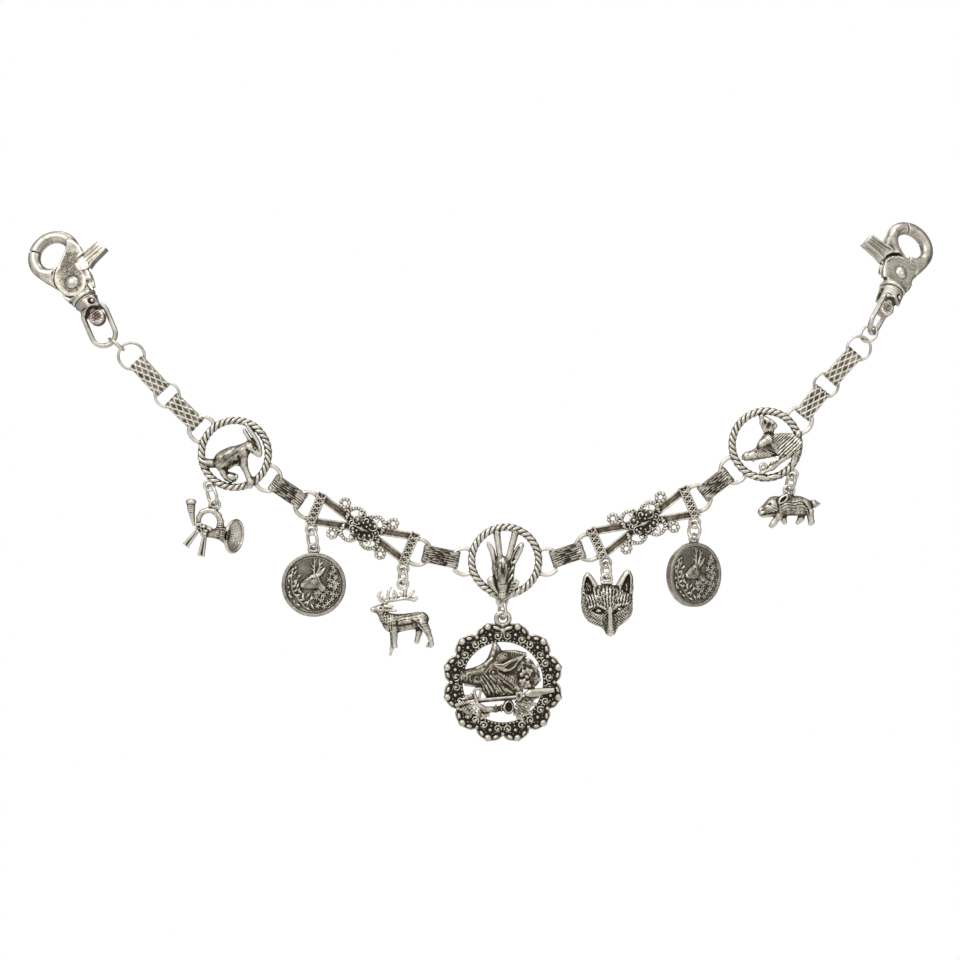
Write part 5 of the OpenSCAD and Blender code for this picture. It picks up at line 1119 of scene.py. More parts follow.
def hunting_horn():
    s = Sculpt((-11.2, -18.6, -6.4), (10.4, 2.8, 6.9), 0.16)
    s.add(hoop((0, 0, 0), 1.6, 1.1), 0.2)
    s.limbs([(0.2, -1.4, 0, 0.7, -0.4, -2, 0, 0.8)], 0.3)
    # the coiled tube, thickest at the right where it runs into the bell
    coil = [(-5.4, -6.6, 0.75), (-5.3, -4.2, 0.85), (-4.2, -2.4, 0.92), (-2.2, -1.7, 0.95), (-0.2, -2.1, 0.98),
            (1.3, -3.6, 1.02), (2, -5.6, 1.05), (1.7, -7.6, 1.2)]
    for (x0, y0, r0), (x1, y1, r1) in zip(coil, coil[1:]):
        s.limbs([(x0, y0, 0.3, r0, x1, y1, 0.3, r1)], 0.2)
    s.limbs([(-5.2, -6.8, 0.5, 0.8, -3.4, -7.4, 0.9, 0.85), (-1.6, -8.2, 0.9, 0.95)], 0.3)
    # mouthpiece: a grooved cone with a rounded cap
    s.limbs([(-6.9, -6.6, 0.7, 0.5, -7.3, -4.6, 0.7, 0.75), (-7.75, -1.6, 0.7, 1.25), (-7.85, -0.2, 0.7, 1.45)], 0.2)
    s.bosses((-7.85, 0.95, 0.7, 1.8, 1.15, 1.75, 0.15))
    for i in range(4):
        y = -0.45 - 0.72 * i
        x = -7.82 + 0.04 * i
        s.grooves((x - 1.9, y + 0.1, 2.2 - 0.13 * i, 0.2, x + 1.9, y - 0.1, 2.2 - 0.13 * i, 0.2, 0.1),
                  (x - 1.65 + 0.1 * i, y, 0.7, 0.2, x - 1.65 + 0.1 * i, y, 2.2, 0.2, 0.1),
                  (x + 1.65 - 0.1 * i, y, 0.7, 0.2, x + 1.65 - 0.1 * i, y, 2.2, 0.2, 0.1))
    s.grooves((-6.6, -1.6, 1.6, 0.3, -6.7, -5.4, 1.2, 0.2, 0.3))
    # throat and bell: a flared shell around a slanting axis, hollow, with a rolled rim
    along = np.array([0.885, -0.12, 0.45])
    along /= np.linalg.norm(along)
    mouth = np.array([6.5, -10.4, 1.9])
    s.limbs([(-2.2, -9.6, 0.6, 1.2, 1.4, -9.5, 0.4, 1.9), (3.6, -10, 0.6, 2.8)], 0.5)
    s.limbs([(1.9, -6.8, 0.3, 1.2, 2.2, -8.4, 0.4, 1.6)], 0.5)

    def about(x, y, z):
        u, v, w = x - mouth[0], y - mouth[1], z - mouth[2]
        t = u * along[0] + v * along[1] + w * along[2]
        return t, np.sqrt(np.clip(u * u + v * v + w * w - t * t, 0, None))

    def bell(x, y, z):
        t, r = about(x, y, z)
        wide = 2 + 3.7 * np.clip(1 + t / 4.4, 0, 1) ** 2.2
        return within(r - wide, t - 0.3, -t - 4.4) * 0.7

    def bore(x, y, z):
        t, r = about(x, y, z)
        wide = 1.3 + 3.7 * np.clip(1 + t / 3.6, 0, 1) ** 2
        return np.maximum(r - wide, -t - 2.7) * 0.7

    def rim(x, y, z):
        t, r = about(x, y, z)
        return np.sqrt((r - 5.35) ** 2 + ((t - 0.1) * 0.8) ** 2) - 0.48
    box = (np.array([0.6, -17.2, -5.4]), np.array([10.2, -3.8, 6.8]))
    s.add((*box, bell), 0.4)
    s.cut((*box, bore), 0.15)
    s.add((*box, rim), 0.15)

    def pits(x, y, z):
        t, r = about(x, y, z)
        rough = np.sin(5.1 * x + 2 * np.sin(3.1 * y)) * np.sin(4.7 * y + 2 * np.sin(2.7 * x))
        rough = rough + 0.6 * np.sin(9.7 * y + 3 * z)
        return 0.13 * rough * (r < 4.7) * (t < 0.4)
    s.carve(*box, pits)
    s.carve((-7, -13, -2), (4, 0, 3), lambda x, y, z: 0.035 * hair(
        np.arctan2(y + 5.2, x + 1.7) * 4, np.hypot(x + 1.7, y + 5.2), 0.6, 3, 5.1
    ))
    # square knot and two flat tassels with raised edges
    for x, y, r in ((-5.5, -6.6, 0.75), (-3.6, -7.3, 0.85), (-5.6, -8.8, 0.85), (-3.2, -9.6, 0.8), (-4.4, -8.2, 0.6)):
        s.bosses((x, y, 1.7, r, r * 0.85, 0.9, 20, 0.1))
    s.limbs([(-6.1, -7.6, 1.5, 0.45, -2.6, -8.7, 1.8, 0.45), (-4.7, -6.2, 1.8, 0.4, -4.2, -10, 1.8, 0.4)], 0.1)
    for x, y in ((-4.9, -7.5), (-3.9, -8.9), (-4.9, -8.4), (-4, -7.8)):
        s.pits((x, y, 2.5, 0.42, 0.36, 0.6, 0.08))
    for a, b in (((-6, -8.9), (-9.7, -13.6)), ((-3.2, -9.9), (-4.5, -17.1))):
        a, b = np.array(a), np.array(b)
        d = (b - a) / np.linalg.norm(b - a)
        n = np.array([-d[1], d[0]])
        s.add(plate([a + 0.75 * n, b + 1.2 * n, b - 1.2 * n, a - 0.75 * n], 0.2, 2, 0.6), 0.2)
        s.grooves((*(a + 1.2 * d), 2.5, 0.5, *(b - 0.7 * d), 2.5, 0.75, 0.15),
                  (*(a + 1 * d + 0.1 * n), 1.9, 0.16, *(b - 0.2 * d + 0.2 * n), 1.7, 0.16, 0.1),
                  (*(a + 0.6 * d - 0.7 * n), 2.2, 0.14, *(a + 0.6 * d + 0.7 * n), 2.2, 0.14, 0.1))
    return s


LEAF_LIMIT = 8.5


def coin():
    s = Sculpt((-11.4, -23.2, -2), (11.4, 2.8, 2.1), 0.15)
    lug(s)

    def blank(x, y, z):
        r = np.sqrt(x * x + (y + COIN_DROP) ** 2)
        half = np.where(r > 9.6, 1.4, 0.8)
        rim = -smooth_min(-(r - 10.7), half - np.abs(z), 0.35)
        return rim * 0.9
    s.add(((-10.7, -22.6, -1.4), (10.7, -1.2, 1.4), blank), 0.1)
    s.add(hoop((0, -COIN_DROP, 0.75), 9.15, 0.35), 0.08)
    s.limbs([(-0.7, -1.4, 0, 0.6, 0.7, -1.4, 0, 0.6)], 0.3)
    z0 = 0.8

    def at(x, y):
        return x, y - COIN_DROP
    # muzzle, face, brow, neck
    for x0, y0, r0, x1, y1, r1 in (
        (-4.1, -0.1, 0.5, -2.6, 1, 0.75), (-2.6, 1, 0.75, -0.2, 2.4, 1.15), (-0.4, 1.8, 1.1, 1.4, 0.8, 1.2),
        (-2.8, 0.1, 0.55, 0.2, -0.2, 0.8), (1, 0.6, 1.2, 3, -1.2, 1.2), (-0.2, 2.9, 0.6, 1, 3.1, 0.6)
    ):
        s.add(limb((*at(x0, y0), z0), r0, (*at(x1, y1), z0), r1, 0.7), 0.2)
    s.add(cushion([at(*p) for p in (
        (-4.4, -0.6), (-4.3, 0.5), (-2.8, 1.8), (-1.2, 3.2), (0.6, 3.6), (1.8, 2.6), (2.4, 1), (2.6, -0.8),
        (1.4, -1.2), (0.2, -1.2), (-1.4, -1.2), (-3.2, -1.3)
    )], z0, 0.75, 1), 0.15)
    s.bosses((*at(-3.7, -0.3), z0 + 0.4, 0.75, 0.7, 0.6, 0.15), (*at(0.3, 0.9), z0 + 0.4, 1.3, 1.1, 0.75, 0.2))
    # ears, beams and tines
    for x0, y0, x1, y1, r0, r1 in (
        (1.3, 2.8, 2.6, 4.2, 0.62, 0.7), (2.6, 4.2, 3.8, 5.6, 0.7, 0.25), (0.9, 3.2, 1.9, 5, 0.45, 0.25),
        (0.2, 3.6, 0.3, 6, 0.34, 0.3), (0.3, 6, 0.2, 8.8, 0.3, 0.16), (0.3, 5.4, -1, 7.4, 0.26, 0.14),
        (1.2, 3.8, 2, 6.2, 0.34, 0.3), (2, 6.2, 2, 8.4, 0.3, 0.16), (2, 6.4, 3.2, 7.8, 0.26, 0.14),
        (0.3, 7.2, 1, 8.4, 0.22, 0.14), (0.2, 4.6, -0.8, 5.4, 0.24, 0.14), (1.8, 5.2, 2.8, 6, 0.24, 0.14)
    ):
        s.add(limb((*at(x0, y0), z0 + 0.1), r0, (*at(x1, y1), z0 + 0.1), r1, 0.9), 0.08)
    s.grooves((*at(1.5, 3.7), z0 + 0.75, 0.25, *at(2.7, 4.8), z0 + 0.6, 0.2, 0.1))
    s.pits((*at(-0.6, 2), z0 + 0.75, 0.4, 0.3, 0.4, 20, 0.1))
    s.bosses((*at(-0.6, 2), z0 + 0.45, 0.2, 0.03))
    s.grooves((*at(-4.6, -0.3), z0 + 0.3, 0.1, *at(-3, 0.2), z0 + 0.5, 0.1, 0.08))
    s.strokes((-3, -15, z0), (4, -9, 2), 0.1, (1, 1), (-1, 1), 0.7, 1.4, 1.1)
    # sprays of narrow leaves at the left, small blossoms and leaves at the right and below
    rng = np.random.default_rng(7)
    for x, y, turn in (
        (-8.2, 0.6, 118), (-7.6, 2, 78), (-6.6, 3.2, 60), (-7.2, 3.4, 96), (-5.6, 2.2, 40), (-8.4, -1.2, 160),
        (-7.4, -0.8, 20), (-6.4, -0.2, 60), (-8, -2.8, 175), (-6.8, -2.4, 30), (-5.6, -1.2, 70), (-7.4, -4.2, 200),
        (-6, -3.8, 20), (-5, -2.8, 80), (-6.4, -5.6, 215), (-5, -5.2, 10), (-4, -4.2, 60), (-4.8, -6.8, 230),
        (-3.4, -6.2, 20), (-3.2, -5, 110), (-2.4, -4.2, 50), (-2.2, -6.8, 70), (-6.9, 0.9, 25), (-5, -4, 150),
        (-7.6, 4.6, 70), (-6.2, 5.2, 100), (-3.6, -3, 140), (-1.4, -5, 30), (-2.6, -7.6, 330), (-0.8, -6.6, 300),
        (-8.6, 2.2, 100), (-5.6, -6.4, 290), (-0.6, -3.8, 250), (-7.9, -4.6, 110)
    ):
        p = np.array((x, y))
        q = p + polar(1.9, turn)
        if np.hypot(*q) > LEAF_LIMIT:
            q = q * (LEAF_LIMIT / np.hypot(*q))
        p, q = np.array(at(*p)), np.array(at(*q))
        s.limbs([(*p, z0, 0.2, *((p + q) / 2), z0 + 0.22, 0.42), (*q, z0 + 0.05, 0.12)], 0.04, 0.8)
    s.limbs([(*at(-3, -7.4), z0, 0.22, *at(-7, -2.4), z0, 0.2), (*at(-7, -2.4), z0, 0.2, *at(-7.6, 2.8), z0, 0.16)],
            0.05)
    for centre in (
        (2, -2.6), (3.2, -3.6), (1, -4.4), (4.4, -2.4), (2.6, -5.2), (6.2, -3), (7, -1), (6.6, 1), (7.4, 2.6),
        (5.8, 3.8), (7.9, 0.2), (6, -5), (7.6, -3.4), (4.8, -6), (7, 4.6), (5.4, -0.4), (5.2, 1.8), (0.8, -2.8),
        (3.6, -7.2), (1.4, -7), (6.6, 5.8)
    ):
        p = np.array(at(*centre))
        start = rng.uniform(0, 72)
        for i in range(5):
            q = p + polar(0.62, start + 72 * i)
            s.bosses((*q, z0 + 0.1, 0.46, 0.27, 0.3, start + 72 * i, 0.04))
        s.bosses((*p, z0 + 0.25, 0.24, 0.03))
    s.limbs([(*at(3, -7.6), z0, 0.2, *at(6.6, -4.4), z0, 0.2), (*at(6.6, -4.4), z0, 0.2, *at(7.2, 3.4), z0, 0.16)],
            0.05)
    s.strokes((-10, -22, -2), (10, -2, -0.5), 0.03, (1, 0), (0, 1), 1.4, 2.4, 2.1)
    s.strokes((-10, -22, 0.5), (10, -2, 1.2), 0.018, (1, 1), (1, -1), 0.5, 0.9, 3.1)
    return s


def dull_rim(points):
    """The rim of a coin's face is duller than its edge and its relief."""
    x, y, z = points.T
    return 0.5 * np.clip((np.hypot(x, y + COIN_DROP) - 9.5) / 0.3, 0, 1) * (z > 0.9)


# Clasps, each about its rivet: the hook with its front plate and collar, and the lever with the back disc
def turned_form(y0, r0, y1, r1, k=0.25):
    """A cone or cylinder along y, with softened ends."""
    r = max(r0, r1)

    def distance(x, y, z):
        wide = r0 + (r1 - r0) * np.clip((y - y0) / (y1 - y0), 0, 1)
        return -smooth_min(wide - np.sqrt(x * x + z * z), abs(y1 - y0) / 2 - np.abs(y - (y0 + y1) / 2), k)
    return (-r, min(y0, y1), -r), (r, max(y0, y1), r), distance


def disc(r, z0, z1, k=0.2, c=(0, 0)):
    def distance(x, y, z):
        return -smooth_min(r - np.sqrt((x - c[0]) ** 2 + (y - c[1]) ** 2), -slab(z, z0, z1), k)
    return (c[0] - r, c[1] - r, z0), (c[0] + r, c[1] + r, z1), distance


def eye(start, end, half=2.1, z0=0, z1=0):
    """Part of the oval eye of the hook, with flat ends, or the slab of it between two heights."""
    mid, reach = (start + end) / 2, (end - start) / 2

    def distance(x, y, z):
        v = y - 12
        q = np.sqrt((x / 7) ** 2 + (v / 6.25) ** 2) + 1e-6
        across = (q - 1) * q / (np.sqrt((x / 49) ** 2 + (v / 39.06) ** 2) + 1e-6)
        off = np.abs((np.degrees(np.arctan2(v, x)) - mid + 180) % 360 - 180) - reach
        tube = np.sqrt(across ** 2 + z * z) - half if half else np.maximum(np.abs(across) - 3.2, slab(z, z0, z1))
        return np.maximum(tube, np.radians(off) * 6.6)
    low, high = (-half, half) if half else (z0, z1)
    return (-10.4, 2.4, low), (10.4, 21.6, high), distance


def grown(points, by, z0, z1):
    """A flat plate made larger all round."""
    lo, hi = np.min(points, 0), np.max(points, 0)

    def distance(x, y, z):
        return np.maximum(outline(x, y, points) - by, slab(z, z0, z1))
    return (*(lo - by), z0), (*(hi + by), z1), distance


# The hook lies in front and the lever behind, parted on the plane of the ring
LEVER_PLATE = [
    (0.6, 7.7), (1.8, 7.1), (3.1, 6.1), (4.3, 4.7), (5, 3.1), (5.15, 1.3), (4.9, -0.2), (4.5, -1.9), (3.6, -3.3),
    (1.9, -4.5), (0, -4.9), (-1.9, -4.5), (-3.4, -3.5), (-4.3, -2.2), (-4.85, 0), (-5, 2.2), (-4.8, 4.6),
    (-8.6, 6.4), (-8.9, 8.8), (-8.2, 11.6), (-7, 13), (-5.7, 12), (-4.5, 10.9), (-2, 9.3)
]
HOOK_PLATE = [
    (-0.9, 5.7), (-3, 5.1), (-4.8, 3.8), (-6, 2.1), (-6.7, 0.2), (-6.75, -1), (-6.4, -2.4), (-5.9, -3.7),
    (-5.2, -5.4), (4.6, -5.4), (4.9, -3.8), (5.1, -1.5), (5, 0.6), (5.2, 2.2), (6, 4), (7, 6.2), (7.7, 8.2),
    (7, 10.4), (5.2, 9.2), (3.4, 7.9), (1.6, 7), (0.3, 6.5)
]
SLOT = [(-0.2, 7), (-1.6, 6.8), (-3.4, 6.25), (-5.6, 4.95), (-7, 3), (-7.6, 0.8), (-7.8, -5), (8, -6),
        (8, 7.6)]
NECK = [(-6.4, 13), (-5.3, 10.6), (-4.2, 8.7), (-2.3, 7.2), (-0.9, 6.7), (-3.4, 5.6), (-5.6, 4.4), (-8.6, 6.3),
        (-8.9, 8.6), (-8.6, 10.6), (-7.6, 13)]
THUMB = [(-4.6, 4.4), (-5.2, 1.4), (-6.6, 0.9), (-7.6, 0.9), (-9.6, 1.7), (-15.9, 2.8), (-14.5, 6.8), (-9, 6.4),
         (-6.2, 6.2)]


# half the gap between them
GAP = 0.15


def clasp_hook():
    s = Sculpt((-9.8, -8.4, -5.3), (9.8, 21.4, 5.3), 0.18)
    s.add(plate(HOOK_PLATE, -2.2, 2.2, 1.1))
    s.cut(((-9, -9, -5.4), (9, 22, GAP), lambda x, y, z: z - GAP))
    s.add(eye(-75, 121), 0.6)
    s.add(plate([(1.2, 7.6), (3.2, 6.4), (4.6, 4.8), (5.3, 3), (5.3, 1.2), (6.2, 3.4), (7.4, 6.2), (7.9, 8.2),
                 (7, 10.6), (5.4, 9.4), (3.4, 8.1)], -2, 2, 1.1), 1)
    s.add(plate([
        (5.3, -1.4), (5.1, -3.6), (4.6, -5.6), (-4.4, -5.6), (-4.9, -4.6), (-3.6, -4), (0, -5), (3.6, -4)
    ], -2.2, 2.2, 0.6), 0.4)
    s.bosses((0, -5.2, 0, 4.5, 1.5, 3.6, 0.5))
    s.add(turned_form(-5.5, 4.45, -6.9, 4.5, 0.6), 0.2)
    s.add(turned_form(-6.6, 3.7, -7.58, 3.75, 0.1), 0.1)
    # a groove above the collar, a thin seam on the eye, and a dark step beside the lever's plate
    s.cut(((-5.4, -6, -5.4), (5.4, -4.8, 5.4),
           lambda x, y, z: np.sqrt((np.sqrt(x * x + z * z) - 4.9) ** 2 + (y + 5.3) ** 2) - 0.55))
    s.add(eye(96.6, 98.2, 2.2))
    crest = [(5.7, 0.8), (5.5, 2.4), (4.9, 4.6), (3.4, 6.5), (1.5, 7.7), (0.4, 8.2)]
    for a, b in zip(crest, crest[1:]):
        s.grooves((*a, -2.5, 0.75, *b, -2.5, 0.75, 0.15))
    s.cut(eye(44, 150, 0, -4.6, GAP))
    s.cut(grown(LEVER_PLATE, 0.3, -5.4, GAP))
    s.cut(disc(5.2, -5.4, GAP, 0.05))
    s.cut(((-13.4, -7.3, -5.4), (-3.3, 7.3, GAP),
           lambda x, y, z: within(np.sqrt(x * x + y * y) - 7.3, z - GAP, x + 3.35)))
    s.cut(disc(1.1, -6, 6, 0.02))
    s.cut(turned_form(-9, 1.85, -6.4, 1.85, 0.05))
    s.cut(turned_form(-5.85, 2.55, -6.95, 2.55, 0.05))
    s.cut(hoop((0, 0, 2.4), 2.3, 0.7), 0.15)
    # the pale edge of the plate stands a little proud above the slot
    lip = [(-6.5, 0.4), (-5.9, 2), (-4.7, 3.6), (-2.9, 4.9), (-0.9, 5.5)]
    for a, b in zip(lip, lip[1:]):
        s.add(limb((*a, 1.9), 0.34, (*b, 1.9), 0.34), 0.15)
        s.grooves((a[0] + 0.5, a[1] - 0.6, 2.4, 0.28, b[0] + 0.3, b[1] - 0.75, 2.4, 0.28, 0.15))
    return s


def clasp_lever():
    s = Sculpt((-17.4, -8.2, -2.9), (7.8, 21.4, 2.9), 0.18)
    s.add(plate(LEVER_PLATE, -2.2, 2.2, 0.45))
    s.add(plate([(-3.4, 4.8), (-6.6, 3.4), polar(6.85, 172), polar(6.85, 180), polar(6.85, 190), polar(6.8, 200),
                 polar(6.75, 208), (-3.2, -1.7), (-3.6, -0.8), (-4, 0)], -2.1, 2.1, 0.8), 0.2)
    s.cut(((-18, -9, -GAP), (9, 22, 5.4), lambda x, y, z: -GAP - z))
    s.add(eye(48, 236), 0.5)
    s.add(plate(NECK, -2.15, 2.15, 0.9), 0.8)
    s.add(plate(THUMB, -2.2, 2.2, 0.4), 0.5)
    s.add(eye(96.6, 98.2, 2.2))
    # the thumb bar is a channel with thin raised edges, on both faces, and its floor is lined
    channel = [(-4.6, 5), (-5, 2.2), (-6.9, 1.3), (-9.6, 2.1), (-17.6, 3.4), (-16.6, 6.5), (-9, 5.9), (-6.4, 5.7)]
    s.cut(((-17.6, 1.3, -2.9), (-4.6, 6.5, 2.9), lambda x, y, z: np.maximum(
        outline(x, y, channel), 1.8 + 0.45 * np.clip((x + 8.4) / 2.6, 0, 1) - np.abs(z))), 0.35)
    for face in (-1, 1):
        for y, dy in ((3.2, 0.7), (4.5, 0.6)):
            s.grooves((-8, y, face * 1.9, 0.12, -15.6, y + dy, face * 1.85, 0.12, 0.2))
    s.cut(eye(20, 124.5, 0, -GAP, 4.6))
    s.cut(plate(SLOT, -GAP, 5.4, 0.05))
    s.cut(disc(1.1, -6, 6, 0.02))
    s.cut(hoop((0, 0, -2.4), 2.3, 0.7), 0.15)
    return s


FRONT_STIPPLE = [
    (-5, -4.2), (-5.1, 0.6), (-4.2, 2.8), (-2.2, 4.2), (0.4, 5.2), (3.4, 7), (6.6, 8.4), (6.2, 5.6), (4.5, 3),
    (4.5, -4.6), (2, -5.6), (-3, -5.6)
]
BACK_STIPPLE = [
    (0.2, 7.2), (2.7, 6), (4.5, 3.6), (4.6, 0), (3.7, -2.7), (1.8, -4), (0, -4.3), (-2.2, -3.7), (-3.8, -1.8),
    (-4.4, 0.6), (-4.4, 4.6), (-7.4, 6.6), (-6.6, 8.6), (-4.2, 10.4), (-2.2, 9)
]


def stippled(points):
    """1 on the flat plates round the rivet, less on the lap inside the eye and in the thumb bar."""
    x, y, z = points.T
    front, back = (np.clip(-outline(x, y, edge) / 0.7, 0, 1) for edge in (FRONT_STIPPLE, BACK_STIPPLE))
    result = np.where(z > 0, front, back)
    result = result * np.clip((np.abs(z) - 1.2) / 0.5, 0, 1) * np.clip((np.hypot(x, y) - 1.9) / 0.3, 0, 1)
    v = y - 12
    inner = np.clip((1.0 - np.sqrt((x / 7.0) ** 2 + (v / 6.25) ** 2)) / 0.12, 0, 1)
    angle = np.degrees(np.arctan2(v, x))
    result = np.maximum(result, 0.6 * inner * (angle > 40) * (angle < 124))
    channel = np.clip((-6.6 - x) / 1.0, 0, 1) * np.clip((1.95 - np.abs(z)) / 0.2, 0, 1)
    return np.maximum(result, 0.35 * channel)


def swivel_pin():
    """The swivel's barrel, slotted for the oval ring, with a pin end in a pit and a round end disc."""
    s = Sculpt((-4.8, -17.8, -4.8), (4.8, -5.4, 4.8), 0.18)
    s.add(turned_form(-7.75, 4.2, -12.3, 4.1, 0.35))
    s.cut(((-3.6, -18, -5), (3.6, -10.9, 5), lambda x, y, z: np.maximum(
        np.sqrt(x * x + (y + 14.6) ** 2) - 3.4, 2 - np.sqrt(x * x + z * z))), 0.1)
    s.add(limb((0, -11.9, 0), 1.3, (0, -13.6, 0), 1.3), 0.1)
    s.add(disc(2.7, -1.8, 1.8, 0.7, (0, -14.6)), 0.1)
    for face in (-1, 1):
        s.pits((0, -14.6, face * 2.1, 1.95, 1.95, 0.5, 0.15))
    s.cut(((-5, -11.5, -1.45), (5, -8.3, 1.45), lambda x, y, z: np.maximum(
        np.abs(z) - 1.45, np.abs(y + 9.9) - 1.6)), 0.05)
    for side in (-1, 1):
        s.cut(((side * 3.8 - 1.35, -12.8, -1.9), (side * 3.8 + 1.35, -8.7, 1.9), lambda x, y, z: within(
            2.45 - side * x, np.abs(z) - 1.9, np.abs(y + 10.8) - 2.1)), 0.1)
        s.pits((side * 2, -9.8, side * 3.8, 1.2, 1.2, 0.9, 0.15))
        s.bosses((side * 2, -9.8, side * 3.3, 0.75, 0.05))
        s.grooves((-side * 0.6, -11, side * 4.2, 0.2, -side * 3, -10.4, side * 3, 0.2, 0.1))
    s.strokes((-2, -16.4, -2.4), (2, -12.8, 2.4), 0.07, (1, 0), (0, 1), 0.9, 1.1, 6)
    s.add(turned_form(-6, 2.3, -6.72, 2.3, 0.1))
    s.add(turned_form(-6.6, 1.68, -8, 1.68, 0.1))
    return s


# Strips: a flat tube of sheet, folded over the wire at either end, with a pattern pressed in its front
STRIP_TRIANGLES = 7000
STRIP_TILT = 4


def strip(name, a, ra, wire_a, b, rb, wire_b, bark):
    """A strip between two wires: at, radius and wire of each, and the seed of its bark, or 0."""
    height, sheet, width = 2.8, 0.4, 5.6

    def reach(r, wire):
        """From a ring's centre to the end of the strip folded over it."""
        return math.sqrt((r - wire / 2) ** 2 - height ** 2) - 0.67
    a, b = np.array(a), np.array(b)
    turn = math.degrees(math.atan2(b[1] - a[1], b[0] - a[0]))
    gap = np.linalg.norm(b - a)
    length = gap - reach(ra, wire_a) - reach(rb, wire_b)
    middle = a + (b - a) / gap * (reach(ra, wire_a) + length / 2)
    straight = length - height
    half, fold = height / 2, math.pi * height / 2
    rim = straight * 2 + math.pi * height
    count, rows = int(rim / 0.16), int(width / 0.14)
    t = np.arange(count) * rim / count

    def bent(side, q):
        return side * straight / 2 + half * math.cos(q), half * math.sin(q), math.cos(q), math.sin(q)
    line = []
    for s in t:
        # front, right fold, back, left fold
        if s < straight:
            line.append((s - straight / 2, half, 0, 1))
        elif s < straight + fold:
            line.append(bent(1, math.pi / 2 - (s - straight) / half))
        elif s < 2 * straight + fold:
            line.append((straight / 2 - (s - straight - fold), -half, 0, -1))
        else:
            line.append(bent(-1, -math.pi / 2 - (s - 2 * straight - fold) / half))
    u, w, nu, nw = np.array(line).T[..., None]
    along = np.where(t < straight + fold, t - straight / 2, 0)
    along = np.where(t > rim - fold, t - rim - straight / 2, along)[:, None]
    across = np.linspace(-width / 2, width / 2, rows + 1)[None, :]
    front = np.clip((w + 0.9) / 0.8, 0, 1)
    if bark:
        press = -0.17 - 0.17 * hair(along, across + 0.06 * np.sin(along * 1.1), 0.8, 5.0, float(bark))
        press = press + 0.1 * np.clip((np.abs(along) - straight / 2 + 2.6) / 2.6, 0, 1)
    else:
        lines = [np.abs((along / 4.0 + side * across / 1.9) % 1 - 0.5) * 2 for side in (-1, 1)]
        ridge = np.maximum(*[np.clip(1.15 - (1 - l) / 0.42, 0, 1) for l in lines])
        press = -0.28 + 0.28 * (ridge * ridge * (3 - 2 * ridge))
    edge = np.clip((np.abs(across) - width / 2 + 0.3) / 0.3, 0, 1)
    press = press * front * (1 - edge) - 0.05 * edge ** 2
    near = np.where(front > 0, (press + 0.1) * 0.75, 0.0)
    # painted shade: the back of the tube and its folded ends are darker than its front
    far = np.broadcast_to(-0.12 * (1 - front) + 0.02, press.shape)
    far = far - 0.1 * np.clip((np.abs(along) - straight / 2) / 1.6, 0, 1) * front
    outer = np.stack(np.broadcast_arrays(u + nu * press, across, w + nw * press), -1)
    inner = np.stack(np.broadcast_arrays(u - nu * sheet, across, w - nw * sheet), -1)
    points = np.concatenate([outer.reshape(-1, 3), inner.reshape(-1, 3)])
    n = rows + 1
    base = count * n
    i, j = (g.ravel() for g in np.meshgrid(np.arange(count), np.arange(rows), indexing="ij"))
    after = (i + 1) % count
    top = np.stack([i * n + j, i * n + j + 1, after * n + j + 1, after * n + j], 1)
    k = np.arange(count) * n
    after = np.roll(k, -1)
    faces = np.concatenate([
        top, top[:, ::-1] + base, np.stack([k, after, base + after, base + k], 1),
        np.stack([after + rows, k + rows, base + k + rows, base + after + rows], 1)
    ])
    mesh = bpy.data.meshes.new(name)
    mesh.from_pydata((stood(middle, turn, STRIP_TILT)(points) * MM).tolist(), [], faces.tolist())
    mesh.update()
    mesh.shade_smooth()
    # the inside of the tube gets painted shade
    shaded(mesh, {key: np.concatenate([values.ravel(), np.full(base, inside)]) for key, values,
                  inside in (("near", near, -0.01), ("far", far, -0.15))})
    mesh.materials.append(bark_silver if bark else strip_silver)
    piece = bpy.data.objects.new(name + "_pressed", mesh)
    bpy.context.scene.collection.objects.link(piece)
    lighten(piece, STRIP_TRIANGLES / (2 * len(faces)))
    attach(piece, "chain")
    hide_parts(name)
cast_silver = antique("cast_silver", bias=-0.03)
charm_silver = antique("charm_silver", bias=-0.06)
dark_cast = antique(
    "dark_cast", bias=-0.19, near_gain=9.5, light=(0.50, 0.46, 0.38), bright=(0.82, 0.78, 0.69),
    middle=(0.26, 0.23, 0.185), matt=True, even=0.8
)
bow_cast = antique(
    "bow_cast", bias=-0.1, near_gain=8.5, far_gain=1.0, light=(0.52, 0.48, 0.40), bright=(0.84, 0.80, 0.71),
    middle=(0.29, 0.26, 0.21)
)
# the negative side gain paints a highlight on the coin's steep edges instead of shade
coin_silver = antique(
    "coin_silver", bias=-0.02, near_gain=7.0, far_gain=0.75, light=(0.46, 0.43, 0.37), middle=(0.24, 0.22, 0.185),
    painted_side_shade=-0.14, matt=True, even=0.42
)
strip_silver = antique("strip_silver", bias=0.3, near_gain=5.0, far_gain=0.6)
bark_silver = antique("bark_silver", bias=-0.06, near_gain=8.0, far_gain=1.0)
# one casting in two tones: the left clasp is painted in shade, the right one painted lit
clasp_cast = {
    side: antique(side + "_clasp_cast", bias=0.14, near_gain=6.0, far_gain=0.8, gloss=0.22, painted_side_shade=0.12, matt=True,
                  even=even)
    for side, even in (("left", 0.42), ("right", 0.68))
}
# one swivel casting in two tones: the left painted darker and browner as shade, the right painted lit
swivel_cast = {
    "left": antique("painted_shade_swivel", bias=-0.02, near_gain=6.0, far_gain=1.0, light=(0.42, 0.34, 0.31),
                    bright=(0.78, 0.71, 0.67), middle=(0.20, 0.155, 0.14)),
    "right": antique("painted_light_swivel", bias=0.12, near_gain=6.0, far_gain=1.0, middle=(0.34, 0.31, 0.24)),
}
wire_silver = plated("wire_silver")
clasp_silver = plated("clasp_silver", (0.88, 0.86, 0.81), (0.58, 0.55, 0.49), 0.24, 0.03)

